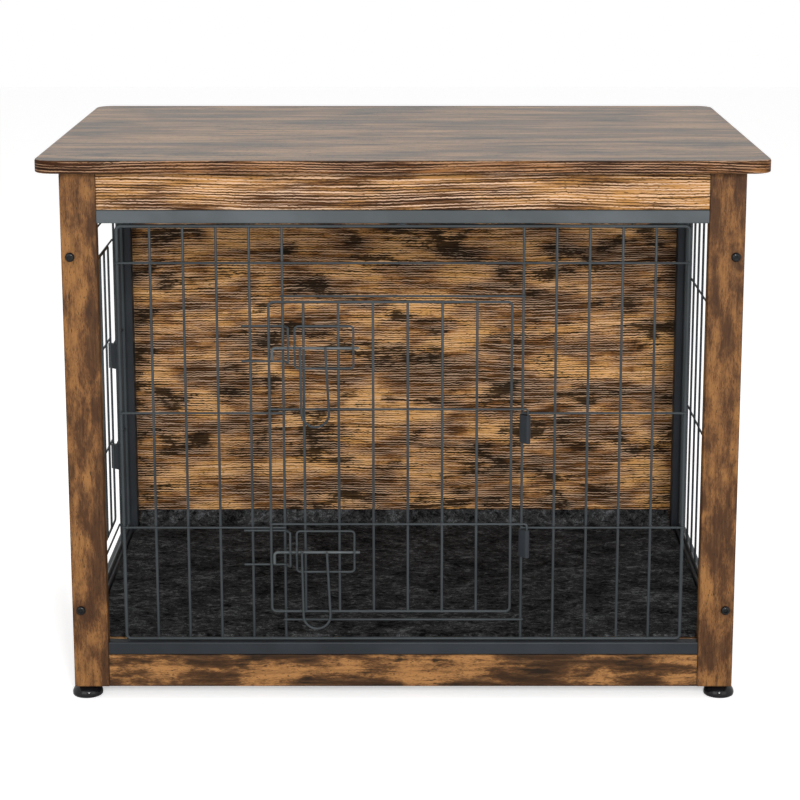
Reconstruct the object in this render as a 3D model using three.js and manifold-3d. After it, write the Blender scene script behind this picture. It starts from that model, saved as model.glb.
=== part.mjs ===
// Dog crate end table: a wood top and frame on a welded steel cage, with wire panels,
// a wire door in the front and in the left side, two slide bolts on each door,
// a floor board with a felt mat, and four levelling feet.
// Millimetres. +X is to the right, -Y is the front, +Z is up, and the feet stand on Z = 0.
import * as THREE from "three";
import Module from "manifold-3d";
import { mergeVertices } from "three/addons/utils/BufferGeometryUtils.js";

const wasm = await Module();
wasm.setup();

// ---------------------------------------------------------------- driving sizes

const SEAT = 0.3; // gap left between two pieces that rest on or butt against each other

const TABLE = {
  width: 825,
  depth: 570,
  height: 642,
  thickness: 15,
  cornerRadius: 22,
  edgeRadius: 1.6,
};

const FRAME = {
  sideOverhang: 25.5, // top board past the outside of the frame, left and right
  frontOverhang: 25, // top board past the face of the front stiles, and past the back
  stileWidth: 41,
  board: 15, // thickness of stiles, rails and back
  topRail: 44,
  bottomRail: 39,
  woodEdge: 1.2,
};

const STEEL = {
  upright: 20,
  bar: 15,
  wall: 1.2,
  edge: 1.5,
  footPlate: 3,
};

const FLOOR = {
  thickness: 6,
  bearer: 15,
  topBelowBar: 6.6, // floor board's top face below the top of the bottom bars
  frontSetback: 32, // floor board's front edge behind the face of the front stiles
};

const MAT = {
  thickness: 5,
  sideGap: 2, // to the side bars
  endGap: 1, // to the front uprights and the back board
  postGap: 2, // to the rear uprights
  lipHeight: 22, // how far the rear edge is turned up against the back board
  lipRadius: 16,
  cornerDraw: 7, // how far the front corners are rounded off
  cornerLength: 9,
  tuckFrom: 24, // the sides draw in past the rear uprights from here to there,
  tuckTo: 8, // both measured to the start of the bend
  rows: 11,
  bendRows: 6,
};

const FOOT = {
  height: 16,
  radius: 18.2,
  inward: 2.5, // centre of the foot from the upright's, towards the middle of the table
  outward: 5, // and towards the front or the back
  studRadius: 3,
  studLength: 26,
  studClearance: 0.2,
};

const SCREW = {
  headRadius: 5.4,
  headHeight: 3.4,
  shankRadius: 2.9,
  shankClearance: 0.3,
  length: 22,
  pilotDepth: 5, // the hole in an upright, inwards from its middle
  fromTop: 98, // upper screw below the underside of the top board
  fromBottom: 94, // lower screw above the bottom end of the stile
};

const WIRE = {
  frame: 2.0, // radius of the wire around a panel
  upright: 1.5, // radius of the upright wires and of the door's frame
  cross: 1.25, // radius of the cross wires, keepers and brackets
  bite: 0.35, // how far two crossing wires are pressed into each other
  corner: 5,
  setback: 8.4, // centre of a panel's upright wires behind the face of the frame
};

const PANEL = {
  endGap: 21, // front panel's outermost wire to the stile
  sideEndGap: 3, // side panel's outermost wire to the upright
  topGap: 4.2, // centre of the top wire below the top bar
  tabWidth: 8,
  pitch: 37.5, // upright wires beside the front doorway
  doorway: 275,
  headWireDrop: 42, // head wire below the panel's top wire
  doorwayDrop: 80.3, // top of the doorway below the panel's top wire
  doorwayRise: 24.3, // bottom of the doorway above the panel's bottom wire
  crossWires: [0.645, 0.29], // heights as parts of the doorway's height
  plainCrossWires: [0.716, 0.362], // heights as parts of the panel's height
  plainBays: 10,
};

const DOOR = {
  latchOverlap: 15.8, // door frame past the doorway on the bolt side
  hingeInset: 13, // door frame short of the doorway on the hinge side
  topGap: 6,
  bottomGap: 11.3,
  bays: 7,
  layerGap: 0.65, // door wires clear of the panel's cross wires
  crossRise: 6, // door's cross wires above the panel's
  pinOffset: 6, // hinge pin past the doorway's upright wire
  pinDrop: 30,
  pinBend: 3,
};

const CLIP = {
  height: 33,
  sheet: 1.2,
  pinClearance: 0.25,
  wireClearance: 0.35,
};

const BOLT = {
  upper: 0.847, // height of the upper bolt as a part of the doorway's height
  lowerDrop: 27.8, // lower bolt below the panel's lower cross wire
  radius: 1.6,
  clearance: 0.35,
  legInset: 3.7, // hooked leg inside the door frame's bolt-side wire
  legDrop: 14,
  elbow: 4,
  tailPast: 6.3, // rod's plain end past the bracket
  splitPast: 3, // start of the straight rod past the elbow
};

const BRACKET = {
  start: 29.7, // first side of the bracket from the door frame's bolt-side wire
  width: 67,
  above: 25.3,
  below: 24,
  joggle: 7, // half the height of the part that passes in front of the rod
  slope: 2.5,
  bend: 1.2,
};

const HANDLE = {
  radius: 1.4,
  start: 6, // first leg past the bracket's first side
  topWidth: 29,
  bottomWidth: 32,
  drop: 92,
  topStub: 1.5,
  roundness: 0.49, // bend at the bottom, as a part of the width there
};

const KEEPER = {
  tail: 10, // past the second upright wire from the doorway
  reach: 6.5, // bar past the doorway's upright wire
  above: 24.4,
  below: 16.7,
  bendRadius: 1.8,
};

const ROUND = { wire: 6, handle: 6, rod: 10, screw: 12, foot: 18, bend: 2 };

// ---------------------------------------------------------------- derived places

const frameHalf = TABLE.width / 2 - FRAME.sideOverhang;
const faceY = -TABLE.depth / 2 + FRAME.frontOverhang;
const backY = -faceY;
const frameBottom = FOOT.height;
const frameTop = TABLE.height - TABLE.thickness;
const stileInner = frameHalf - FRAME.stileWidth;
const uprightX = frameHalf - STEEL.upright / 2;
const uprightY = backY - FRAME.board - SEAT - STEEL.upright / 2;
const uprightSpan = 2 * (backY - FRAME.board - STEEL.upright);
const topRailBottom = frameTop - SEAT - FRAME.topRail;
const topBarTop = topRailBottom - SEAT;
const topBarBottom = topBarTop - STEEL.bar;
const bottomRailTop = frameBottom + FRAME.bottomRail;
const bottomBarBottom = bottomRailTop + SEAT;
const bottomBarTop = bottomBarBottom + STEEL.bar;
const barInner = frameHalf - STEEL.bar;
const bearerEnd = Math.min(barInner, frameHalf - FRAME.board) - SEAT;
const floorTop = bottomBarTop - FLOOR.topBelowBar;
const floorBottom = floorTop - FLOOR.thickness;

// ---------------------------------------------------------------- materials

function material(colour, roughness, metalness) {
  return new THREE.MeshStandardMaterial({ color: colour, roughness, metalness });
}

function wood() {
  return material(0x8a6340, 0.62, 0);
}

function coatedSteel() {
  return material(0x4b5257, 0.5, 0.55);
}

function blackSteel() {
  return material(0x16171a, 0.35, 0.6);
}

function blackPlastic() {
  return material(0x101113, 0.3, 0);
}

function felt() {
  return material(0x2e2f33, 0.95, 0);
}

// ---------------------------------------------------------------- shape helpers

function solidOf(geometry) {
  const plain = geometry.clone();
  plain.deleteAttribute("normal");
  plain.deleteAttribute("uv");
  const welded = mergeVertices(plain, 1e-4);
  const vertProperties = new Float32Array(welded.attributes.position.array);
  const triVerts = new Uint32Array(welded.index.array);
  return new wasm.Manifold(new wasm.Mesh({ numProp: 3, vertProperties, triVerts }));
}

function geometryOf(solid) {
  const mesh = solid.getMesh();
  const geometry = new THREE.BufferGeometry();
  geometry.setAttribute("position", new THREE.BufferAttribute(mesh.vertProperties, 3));
  geometry.setIndex(new THREE.BufferAttribute(mesh.triVerts, 1));
  geometry.computeVertexNormals();
  return geometry;
}

function joined(geometries) {
  return geometryOf(geometries.map(solidOf).reduce((whole, next) => whole.add(next)));
}

function cut(geometry, tools) {
  const solids = tools.map(solidOf);
  return geometryOf(solids.reduce((rest, tool) => rest.subtract(tool), solidOf(geometry)));
}

function roundedRectangle(width, height, radius, segments) {
  const points = [];
  for (const [sx, sy, start] of [[1, 1, 0], [-1, 1, 1], [-1, -1, 2], [1, -1, 3]]) {
    for (let i = 0; i <= segments; i += 1) {
      const angle = ((start + i / segments) * Math.PI) / 2;
      const x = sx * (width / 2 - radius) + radius * Math.cos(angle);
      const y = sy * (height / 2 - radius) + radius * Math.sin(angle);
      points.push(new THREE.Vector2(x, y));
    }
  }
  return points;
}

// A bar of rounded section, width x height, running from 0 to length along +Z.
function boardAlongZ(width, height, length) {
  const shape = new THREE.Shape(roundedRectangle(width, height, FRAME.woodEdge, 2));
  return new THREE.ExtrudeGeometry(shape, { depth: length, bevelEnabled: false });
}

function tubeAlongZ(width, height, length) {
  const shape = new THREE.Shape(roundedRectangle(width, height, STEEL.edge, 2));
  const inner = [width - 2 * STEEL.wall, height - 2 * STEEL.wall];
  const innerEdge = STEEL.edge - STEEL.wall / 2;
  shape.holes.push(new THREE.Path(roundedRectangle(inner[0], inner[1], innerEdge, 1)));
  return new THREE.ExtrudeGeometry(shape, { depth: length, bevelEnabled: false });
}

// Turns a piece that runs along +Z so that it runs along +X or +Y, centred on the origin.
function laidAlongX(geometry, length) {
  return geometry.translate(0, 0, -length / 2).rotateY(Math.PI / 2);
}

function laidAlongY(geometry, length) {
  return geometry.translate(0, 0, -length / 2).rotateX(Math.PI / 2);
}

function rodAlongX(radius, fromX, toX, sides) {
  const rod = new THREE.CylinderGeometry(radius, radius, toX - fromX, sides);
  return rod.rotateZ(Math.PI / 2).translate((fromX + toX) / 2, 0, 0);
}

function rodAlongZ(radius, fromZ, toZ, sides) {
  const rod = new THREE.CylinderGeometry(radius, radius, toZ - fromZ, sides);
  return rod.rotateX(Math.PI / 2).translate(0, 0, (fromZ + toZ) / 2);
}

// A path through given points. Its sections stand square to the bend at every point.
class BentPath extends THREE.Curve {
  constructor(points) {
    super();
    this.points = points;
  }

  getPoint(t, target = new THREE.Vector3()) {
    const last = this.points.length - 1;
    const index = Math.min(Math.floor(t * last + 1e-9), last - 1);
    return target.lerpVectors(this.points[index], this.points[index + 1], t * last - index);
  }

  getPointAt(t, target) {
    return this.getPoint(t, target);
  }

  getTangentAt(t, target = new THREE.Vector3()) {
    const last = this.points.length - 1;
    const index = Math.round(t * last);
    const before = this.points[Math.max(index - 1, 0)];
    const after = this.points[Math.min(index + 1, last)];
    const here = this.points[index];
    const along = new THREE.Vector3();
    if (index > 0) along.add(here.clone().sub(before).normalize());
    if (index < last) along.add(after.clone().sub(here).normalize());
    return target.copy(along.normalize());
  }
}

// Corner points with each inner corner turned into a bend of the given radius.
function bentPoints(corners, radius, steps) {
  const points = [corners[0].clone()];
  for (let i = 1; i < corners.length - 1; i += 1) {
    const into = corners[i].clone().sub(corners[i - 1]).normalize();
    const out = corners[i + 1].clone().sub(corners[i]).normalize();
    const turn = into.angleTo(out);
    const reach = radius * Math.tan(turn / 2);
    const start = corners[i].clone().addScaledVector(into, -reach);
    const inward = out.clone().addScaledVector(into, -out.dot(into)).normalize();
    for (let k = 0; k <= steps; k += 1) {
      const angle = (turn * k) / steps;
      const point = start.clone().addScaledVector(into, radius * Math.sin(angle));
      points.push(point.addScaledVector(inward, radius * (1 - Math.cos(angle))));
    }
  }
  points.push(corners[corners.length - 1].clone());
  return points;
}

function bentWire(corners, radius, bendRadius, sides = ROUND.wire, steps = ROUND.bend) {
  const path = new BentPath(bentPoints(corners, bendRadius, steps));
  const section = [];
  for (let i = 0; i < sides; i += 1) {
    const angle = ((i + 0.5) * 2 * Math.PI) / sides;
    section.push(new THREE.Vector2(radius * Math.cos(angle), radius * Math.sin(angle)));
  }
  const options = { steps: path.points.length - 1, extrudePath: path };
  return new THREE.ExtrudeGeometry(new THREE.Shape(section), options);
}

function at(x, y, z) {
  return new THREE.Vector3(x, y, z);
}

function named(name, geometry, finish) {
  const mesh = new THREE.Mesh(geometry, finish);
  mesh.name = name;
  return mesh;
}

function placed(mesh, x, y, z) {
  mesh.position.set(x, y, z);
  return mesh;
}

// ---------------------------------------------------------------- wood pieces

function topBoard() {
  const edge = TABLE.edgeRadius;
  const outline = roundedRectangle(
    TABLE.width - 2 * edge,
    TABLE.depth - 2 * edge,
    TABLE.cornerRadius - edge,
    8,
  );
  const options = {
    depth: TABLE.thickness - 2 * edge,
    bevelThickness: edge,
    bevelSize: edge,
    bevelSegments: 2,
  };
  const board = new THREE.ExtrudeGeometry(new THREE.Shape(outline), options);
  return placed(named("top_board", board, wood()), 0, 0, frameTop + edge);
}

function screwHeights() {
  return [frameTop - SCREW.fromTop, frameBottom + SCREW.fromBottom];
}

function screwHole(x, z) {
  const radius = SCREW.shankRadius + SCREW.shankClearance;
  const hole = new THREE.CylinderGeometry(radius, radius, 2 * SCREW.length, ROUND.screw);
  return hole.translate(x, 0, z);
}

function frontStile(name, side) {
  const height = frameTop - SEAT - frameBottom;
  const blank = boardAlongZ(FRAME.stileWidth, FRAME.board, height).translate(0, 0, frameBottom);
  const x = side * (frameHalf - FRAME.stileWidth / 2);
  const holes = screwHeights().map((z) => screwHole(side * uprightX - x, z));
  return placed(named(name, cut(blank, holes), wood()), x, faceY + FRAME.board / 2, 0);
}

function backBoard() {
  const width = 2 * frameHalf;
  const height = frameTop - SEAT - frameBottom;
  const blank = boardAlongZ(width, FRAME.board, height).translate(0, 0, frameBottom);
  const holes = [];
  for (const side of [-1, 1]) {
    for (const z of screwHeights()) holes.push(screwHole(side * uprightX, z));
  }
  return placed(named("back_board", cut(blank, holes), wood()), 0, backY - FRAME.board / 2, 0);
}

function frontRail(name, height, bottom) {
  const length = 2 * (stileInner - SEAT);
  const rail = laidAlongX(boardAlongZ(height, FRAME.board, length), length);
  return placed(named(name, rail, wood()), 0, faceY + FRAME.board / 2, bottom + height / 2);
}

function sideRail(name, side, height, bottom) {
  const length = uprightSpan - 2 * SEAT;
  const rail = laidAlongY(boardAlongZ(FRAME.board, height, length), length);
  const x = side * (frameHalf - FRAME.board / 2);
  return placed(named(name, rail, wood()), x, 0, bottom + height / 2);
}

function floorBoard() {
  const width = 2 * (frameHalf - STEEL.upright - 2 * SEAT);
  const front = faceY + FLOOR.frontSetback;
  const depth = -2 * front;
  const board = laidAlongX(boardAlongZ(FLOOR.thickness, depth, width), width);
  return placed(named("floor_board", board, wood()), 0, 0, floorBottom + FLOOR.thickness / 2);
}

// ---------------------------------------------------------------- steel frame

function upright(name, side, end) {
  const low = frameBottom + SEAT;
  const height = frameTop - SEAT - low;
  const tube = tubeAlongZ(STEEL.upright, STEEL.upright, height).translate(0, 0, low);
  const plateSize = STEEL.upright - STEEL.wall;
  const plate = new THREE.BoxGeometry(plateSize, plateSize, STEEL.footPlate);
  plate.translate(0, 0, low + STEEL.footPlate / 2);
  const boreRadius = FOOT.studRadius + FOOT.studClearance;
  const bore = rodAlongZ(boreRadius, 0, 2 * low, ROUND.screw);
  bore.translate(-side * FOOT.inward, end * FOOT.outward, 0);
  const pilotShift = end * (SCREW.length - SCREW.pilotDepth);
  const pilots = screwHeights().map((z) => screwHole(0, z).translate(0, pilotShift, 0));
  const body = cut(joined([tube, plate]), [bore, ...pilots]);
  return placed(named(name, body, coatedSteel()), side * uprightX, end * uprightY, 0);
}

function frontBar(name, bottom) {
  const length = 2 * (stileInner - SEAT);
  const bar = laidAlongX(tubeAlongZ(STEEL.bar, STEEL.bar, length), length);
  const y = faceY + SEAT + STEEL.bar / 2;
  return placed(named(name, bar, coatedSteel()), 0, y, bottom + STEEL.bar / 2);
}

function sideBar(name, side, bottom) {
  const length = uprightSpan - 2 * SEAT;
  const bar = laidAlongY(tubeAlongZ(STEEL.bar, STEEL.bar, length), length);
  const x = side * (frameHalf - STEEL.bar / 2);
  return placed(named(name, bar, coatedSteel()), x, 0, bottom + STEEL.bar / 2);
}

function floorBearer(name, y) {
  const length = 2 * bearerEnd;
  const bar = laidAlongX(tubeAlongZ(FLOOR.bearer, FLOOR.bearer, length), length);
  return placed(named(name, bar, coatedSteel()), 0, y, floorBottom - SEAT - FLOOR.bearer / 2);
}

// ---------------------------------------------------------------- fasteners and feet

// A pan-head screw whose head stands on Z = 0 and whose shank runs down -Z.
function screwGeometry() {
  const r = SCREW.headRadius;
  const h = SCREW.headHeight;
  const profile = [
    [0, -SCREW.length],
    [SCREW.shankRadius * 0.8, -SCREW.length],
    [SCREW.shankRadius, -SCREW.length + 0.8],
    [SCREW.shankRadius, 0],
    [r, 0],
    [r, h * 0.35],
    [r * 0.86, h * 0.74],
    [r * 0.6, h],
    [r * 0.38, h],
    [r * 0.34, h * 0.45],
    [0, h * 0.45],
  ];
  const points = profile.map(([x, y]) => new THREE.Vector2(x, y));
  return new THREE.LatheGeometry(points, ROUND.screw).rotateX(Math.PI / 2);
}

function panelScrew(name, side, end, z) {
  const screw = named(name, screwGeometry(), blackSteel());
  screw.rotation.x = (-end * Math.PI) / 2;
  return placed(screw, side * uprightX, end * (backY + SEAT), z);
}

function levellingFoot(name, side, end) {
  const r = FOOT.radius;
  const top = FOOT.height - SEAT;
  const stud = FOOT.studRadius;
  const profile = [
    [0, 0],
    [r * 0.95, 0],
    [r, top * 0.09],
    [r, top * 0.27],
    [r * 0.93, top * 0.52],
    [r * 0.72, top * 0.76],
    [r * 0.46, top * 0.9],
    [r * 0.44, top],
    [stud, top],
    [stud, FOOT.height + FOOT.studLength - 1],
    [stud * 0.75, FOOT.height + FOOT.studLength],
    [0, FOOT.height + FOOT.studLength],
  ];
  const points = profile.map(([x, y]) => new THREE.Vector2(x, y));
  const foot = new THREE.LatheGeometry(points, ROUND.foot).rotateX(Math.PI / 2);
  const x = side * (uprightX - FOOT.inward);
  const y = end * (uprightY + FOOT.outward);
  return placed(named(name, foot, blackPlastic()), x, y, 0);
}

// ---------------------------------------------------------------- wire panels
// A panel is drawn in its own frame: X runs along it, -Y is its outside, Z is height,
// and Y = 0 is the centre of its upright wires. hand = 1 puts the hinges at +X.

const crossY = -(WIRE.upright + WIRE.cross - WIRE.bite);
const doorY = crossY - WIRE.cross - DOOR.layerGap - WIRE.upright;
const doorCrossY = doorY + crossY;
const rodY = doorY - WIRE.upright - BOLT.clearance - BOLT.radius;
const guardY = rodY - BOLT.radius - BOLT.clearance - WIRE.cross;
const handleY = rodY - BOLT.radius - BOLT.clearance - HANDLE.radius;
const doorwayHalf = PANEL.doorway / 2;
const panelTop = topBarBottom - PANEL.topGap;
const panelBottom = bottomBarTop + SEAT + WIRE.frame;
const doorwayTop = panelTop - PANEL.doorwayDrop;
const doorwayBottom = panelBottom + PANEL.doorwayRise;
const inDoorway = (part) => THREE.MathUtils.lerp(doorwayBottom, doorwayTop, part);
const crossHeights = PANEL.crossWires.map(inDoorway);
const doorCrossHeights = crossHeights.map((z) => z + DOOR.crossRise);
const boltHeights = [inDoorway(BOLT.upper), crossHeights[1] - BOLT.lowerDrop];

function rectangularLoop(left, right, bottom, top, y, radius, corner) {
  const middle = (left + right) / 2;
  return [left, right].map((side) => {
    const start = middle + Math.sign(middle - side) * radius;
    const upper = [at(start, y, top), at(side, y, top)];
    const corners = [...upper, at(side, y, bottom), at(start, y, bottom)];
    return bentWire(corners, radius, corner);
  });
}

function uprightWire(x, bottom = panelBottom, top = panelTop, radius = WIRE.upright, y = 0) {
  return rodAlongZ(radius, bottom, top, ROUND.wire).translate(x, y, 0);
}

function crossWire(fromX, toX, z, y = crossY) {
  const [left, right] = [Math.min(fromX, toX), Math.max(fromX, toX)];
  return rodAlongX(WIRE.cross, left, right, ROUND.wire).translate(0, y, z);
}

// The tab that is welded to the top wire and reaches the bar above it.
function weldTab() {
  const reach = PANEL.topGap - SEAT;
  const tab = new THREE.BoxGeometry(PANEL.tabWidth, 2 * WIRE.cross, reach);
  return tab.translate(0, 0, panelTop + reach / 2);
}

// The U-shaped keeper that a door bolt slides behind.
function keeper(hand, boltZ, pitch, half) {
  const tail = -hand * Math.min(doorwayHalf + pitch + KEEPER.tail, half);
  const wire = -hand * (doorwayHalf - WIRE.upright);
  const bar = -hand * (doorwayHalf - KEEPER.reach);
  const high = boltZ + KEEPER.above;
  const low = boltZ - KEEPER.below;
  const corners = [
    at(tail, crossY, high),
    at(wire, crossY, high),
    at(bar, guardY, high),
    at(bar, guardY, low),
    at(wire, crossY, low),
    at(tail, crossY, low),
  ];
  return bentWire(corners, WIRE.cross, KEEPER.bendRadius);
}

function panelWithDoorway(name, half, hand, besideWires) {
  const parts = rectangularLoop(-half, half, panelBottom, panelTop, 0, WIRE.frame, WIRE.corner);
  const pitch = (half - doorwayHalf) / besideWires;
  for (const side of [-1, 1]) {
    for (let i = 0; i < besideWires; i += 1) parts.push(uprightWire(side * (doorwayHalf + i * pitch)));
    for (const z of crossHeights) {
      parts.push(crossWire(side * (doorwayHalf - WIRE.upright), side * (half + WIRE.cross), z));
    }
  }
  const past = doorwayHalf + WIRE.upright + WIRE.cross;
  parts.push(crossWire(-past, past, doorwayTop));
  parts.push(crossWire(-past, past, doorwayBottom));
  parts.push(crossWire(-half - WIRE.cross, half + WIRE.cross, panelTop - PANEL.headWireDrop));
  parts.push(weldTab());
  for (const z of boltHeights) parts.push(keeper(hand, z, pitch, half));
  return named(name, joined(parts), coatedSteel());
}

function plainPanel(name, half) {
  const parts = rectangularLoop(-half, half, panelBottom, panelTop, 0, WIRE.frame, WIRE.corner);
  const pitch = (2 * half) / PANEL.plainBays;
  for (let i = 1; i < PANEL.plainBays; i += 1) {
    parts.push(uprightWire(-half + i * pitch));
  }
  for (const part of PANEL.plainCrossWires) {
    const z = THREE.MathUtils.lerp(panelBottom, panelTop, part);
    parts.push(crossWire(-half - WIRE.cross, half + WIRE.cross, z));
  }
  parts.push(weldTab());
  return named(name, joined(parts), coatedSteel());
}

// ---------------------------------------------------------------- door and its bolts

function bracket(hand, boltZ) {
  const near = -hand * (doorwayHalf + DOOR.latchOverlap - BRACKET.start);
  const far = near + hand * BRACKET.width;
  const middle = (near + far) / 2;
  const high = boltZ + BRACKET.above;
  const low = boltZ - BRACKET.below;
  const step = BRACKET.joggle;
  return [near, far].map((side) => {
    const start = middle + Math.sign(middle - side) * WIRE.cross;
    const corners = [
      at(start, doorCrossY, high),
      at(side, doorCrossY, high),
      at(side, doorCrossY, boltZ + step),
      at(side, guardY, boltZ + step - BRACKET.slope),
      at(side, guardY, boltZ - step + BRACKET.slope),
      at(side, doorCrossY, boltZ - step),
      at(side, doorCrossY, low),
      at(start, doorCrossY, low),
    ];
    return bentWire(corners, WIRE.cross, BRACKET.bend, ROUND.wire, 1);
  });
}

function doorGrille(name, hand) {
  const latchX = -hand * (doorwayHalf + DOOR.latchOverlap);
  const hingeX = hand * (doorwayHalf - DOOR.hingeInset);
  const pinX = hand * (doorwayHalf + DOOR.pinOffset);
  const top = doorwayTop - DOOR.topGap;
  const bottom = doorwayBottom + DOOR.bottomGap;
  const parts = rectangularLoop(latchX, hingeX, bottom, top, doorY, WIRE.upright, WIRE.corner);
  const pitch = (hingeX - latchX) / DOOR.bays;
  for (let i = 1; i < DOOR.bays; i += 1) {
    parts.push(uprightWire(latchX + i * pitch, bottom, top, WIRE.upright, doorY));
  }
  for (const z of doorCrossHeights) {
    const pin = [at(pinX, doorCrossY, z), at(pinX, doorCrossY, z - DOOR.pinDrop)];
    const corners = [at(latchX, doorCrossY, z), ...pin];
    parts.push(bentWire(corners, WIRE.cross, DOOR.pinBend));
  }
  for (const z of boltHeights) parts.push(...bracket(hand, z));
  return named(name, joined(parts), coatedSteel());
}

// A folded sheet-metal clip: it grips the doorway's upright wire and holds the door's pin.
function hingeClip(name, hand, z) {
  const wireHole = WIRE.upright + CLIP.wireClearance;
  const pinHole = WIRE.cross + CLIP.pinClearance;
  const shape = new THREE.Shape();
  const angle = Math.atan2(doorCrossY, hand * DOOR.pinOffset);
  const radius = wireHole + CLIP.sheet;
  const quarter = Math.PI / 2;
  shape.absarc(0, 0, radius, angle + quarter, angle + 3 * quarter, false);
  shape.absarc(hand * DOOR.pinOffset, doorCrossY, radius, angle - quarter, angle + quarter, false);
  for (const [x, y, r] of [[0, 0, wireHole], [hand * DOOR.pinOffset, doorCrossY, pinHole]]) {
    const hole = new THREE.Path();
    hole.absarc(x, y, r, 0, 2 * Math.PI, true);
    shape.holes.push(hole);
  }
  const options = { depth: CLIP.height, bevelEnabled: false, curveSegments: 6 };
  const clip = new THREE.ExtrudeGeometry(shape, options);
  const bottom = z - WIRE.cross - SEAT - CLIP.height;
  return placed(named(name, clip, coatedSteel()), hand * doorwayHalf, 0, bottom);
}

function boltPieces(prefix, hand, boltZ) {
  const legX = -hand * (doorwayHalf + DOOR.latchOverlap - BOLT.legInset);
  const bracketNear = -hand * (doorwayHalf + DOOR.latchOverlap - BRACKET.start);
  const tailX = bracketNear + hand * (BRACKET.width + BOLT.tailPast);
  const splitX = legX + hand * (BOLT.elbow + BOLT.splitPast);
  const start = splitX + hand * SEAT;
  const [left, right] = [Math.min(start, tailX), Math.max(start, tailX)];
  const rod = rodAlongX(BOLT.radius, left, right, ROUND.rod);
  const hookCorners = [at(splitX, 0, 0), at(legX, 0, 0), at(legX, 0, -BOLT.legDrop)];
  const hook = bentWire(hookCorners, BOLT.radius, BOLT.elbow, ROUND.rod, 3);
  const first = bracketNear + hand * HANDLE.start;
  const offset = handleY - rodY;
  const widen = (HANDLE.bottomWidth - HANDLE.topWidth) / 2;
  const low = -HANDLE.drop;
  const handleCorners = [
    at(first, offset, HANDLE.topStub),
    at(first + hand * widen, offset, low),
    at(first + hand * (widen + HANDLE.bottomWidth), offset, low),
    at(first + hand * HANDLE.topWidth, offset, HANDLE.topStub),
  ];
  const bend = HANDLE.bottomWidth * HANDLE.roundness;
  const handle = bentWire(handleCorners, HANDLE.radius, bend, ROUND.handle, 6);
  return [
    placed(named(`${prefix}_rod`, rod, coatedSteel()), 0, rodY, boltZ),
    placed(named(`${prefix}_hook`, hook, coatedSteel()), 0, rodY, boltZ),
    placed(named(`${prefix}_handle`, handle, coatedSteel()), 0, rodY, boltZ),
  ];
}

// A whole wire wall: the panel, and its door, clips and bolts.
function doorWall(prefix, half, hand, besideWires) {
  const wall = new THREE.Group();
  wall.add(panelWithDoorway(`${prefix}_wire_panel`, half, hand, besideWires));
  wall.add(doorGrille(`${prefix}_door_grille`, hand));
  const labels = ["upper", "lower"];
  labels.forEach((label, i) => {
    wall.add(hingeClip(`${prefix}_hinge_clip_${label}`, hand, crossHeights[i]));
    wall.add(...boltPieces(`${prefix}_bolt_${label}`, hand, boltHeights[i]));
  });
  return wall;
}

// ---------------------------------------------------------------- mat

// Distances along the mat from its front edge, one for each row of points.
function matStations(straight, arc, lip) {
  const tuckStart = straight - MAT.tuckFrom;
  const stations = [0, MAT.cornerLength / 3, MAT.cornerLength];
  for (let i = 1; i <= MAT.rows; i += 1) {
    stations.push(THREE.MathUtils.lerp(MAT.cornerLength, tuckStart, i / MAT.rows));
  }
  stations.push(straight - (MAT.tuckFrom + MAT.tuckTo) / 2, straight - MAT.tuckTo);
  for (let i = 0; i <= MAT.bendRows; i += 1) {
    stations.push(straight + (arc * i) / MAT.bendRows);
  }
  stations.push(straight + arc + lip);
  return stations;
}

// A flat felt mat whose rear edge is turned up against the back board.
function feltMat() {
  const front = -(uprightSpan / 2 - MAT.endGap);
  const rear = backY - FRAME.board - MAT.endGap - MAT.thickness / 2;
  const straight = rear - MAT.lipRadius - front;
  const arc = (MAT.lipRadius * Math.PI) / 2;
  const stations = matStations(straight, arc, MAT.lipHeight - MAT.lipRadius);
  const wide = barInner - MAT.sideGap;
  const narrow = frameHalf - STEEL.upright - MAT.postGap;
  const rows = stations.length - 1;
  const mat = new THREE.BoxGeometry(2, 2, 2, 4, rows, 1);
  const position = mat.attributes.position;
  for (let i = 0; i < position.count; i += 1) {
    const s = stations[Math.round(((position.getY(i) + 1) / 2) * rows)];
    const off = (position.getZ(i) * MAT.thickness) / 2;
    const tuck = THREE.MathUtils.smoothstep(s, straight - MAT.tuckFrom, straight - MAT.tuckTo);
    const corner = Math.max(0, 1 - s / MAT.cornerLength) ** 2;
    const half = THREE.MathUtils.lerp(wide, narrow, tuck) - MAT.cornerDraw * corner;
    const bend = THREE.MathUtils.clamp((s - straight) / MAT.lipRadius, 0, Math.PI / 2);
    const y = front + Math.min(s, straight) + MAT.lipRadius * Math.sin(bend);
    const z = MAT.lipRadius * (1 - Math.cos(bend)) + Math.max(0, s - straight - arc);
    position.setXYZ(i, position.getX(i) * half, y - off * Math.sin(bend), z + off * Math.cos(bend));
  }
  mat.computeVertexNormals();
  return placed(named("felt_mat", mat, felt()), 0, 0, floorTop + SEAT + MAT.thickness / 2);
}

// ---------------------------------------------------------------- assembly

const table = new THREE.Group();
table.name = "dog_crate_end_table";

table.add(topBoard());
table.add(backBoard());
table.add(frontRail("front_top_rail", FRAME.topRail, topRailBottom));
table.add(frontRail("front_bottom_rail", FRAME.bottomRail, frameBottom));
table.add(frontBar("front_top_bar", topBarBottom));
table.add(frontBar("front_bottom_bar", bottomBarBottom));
table.add(floorBoard());

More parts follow.
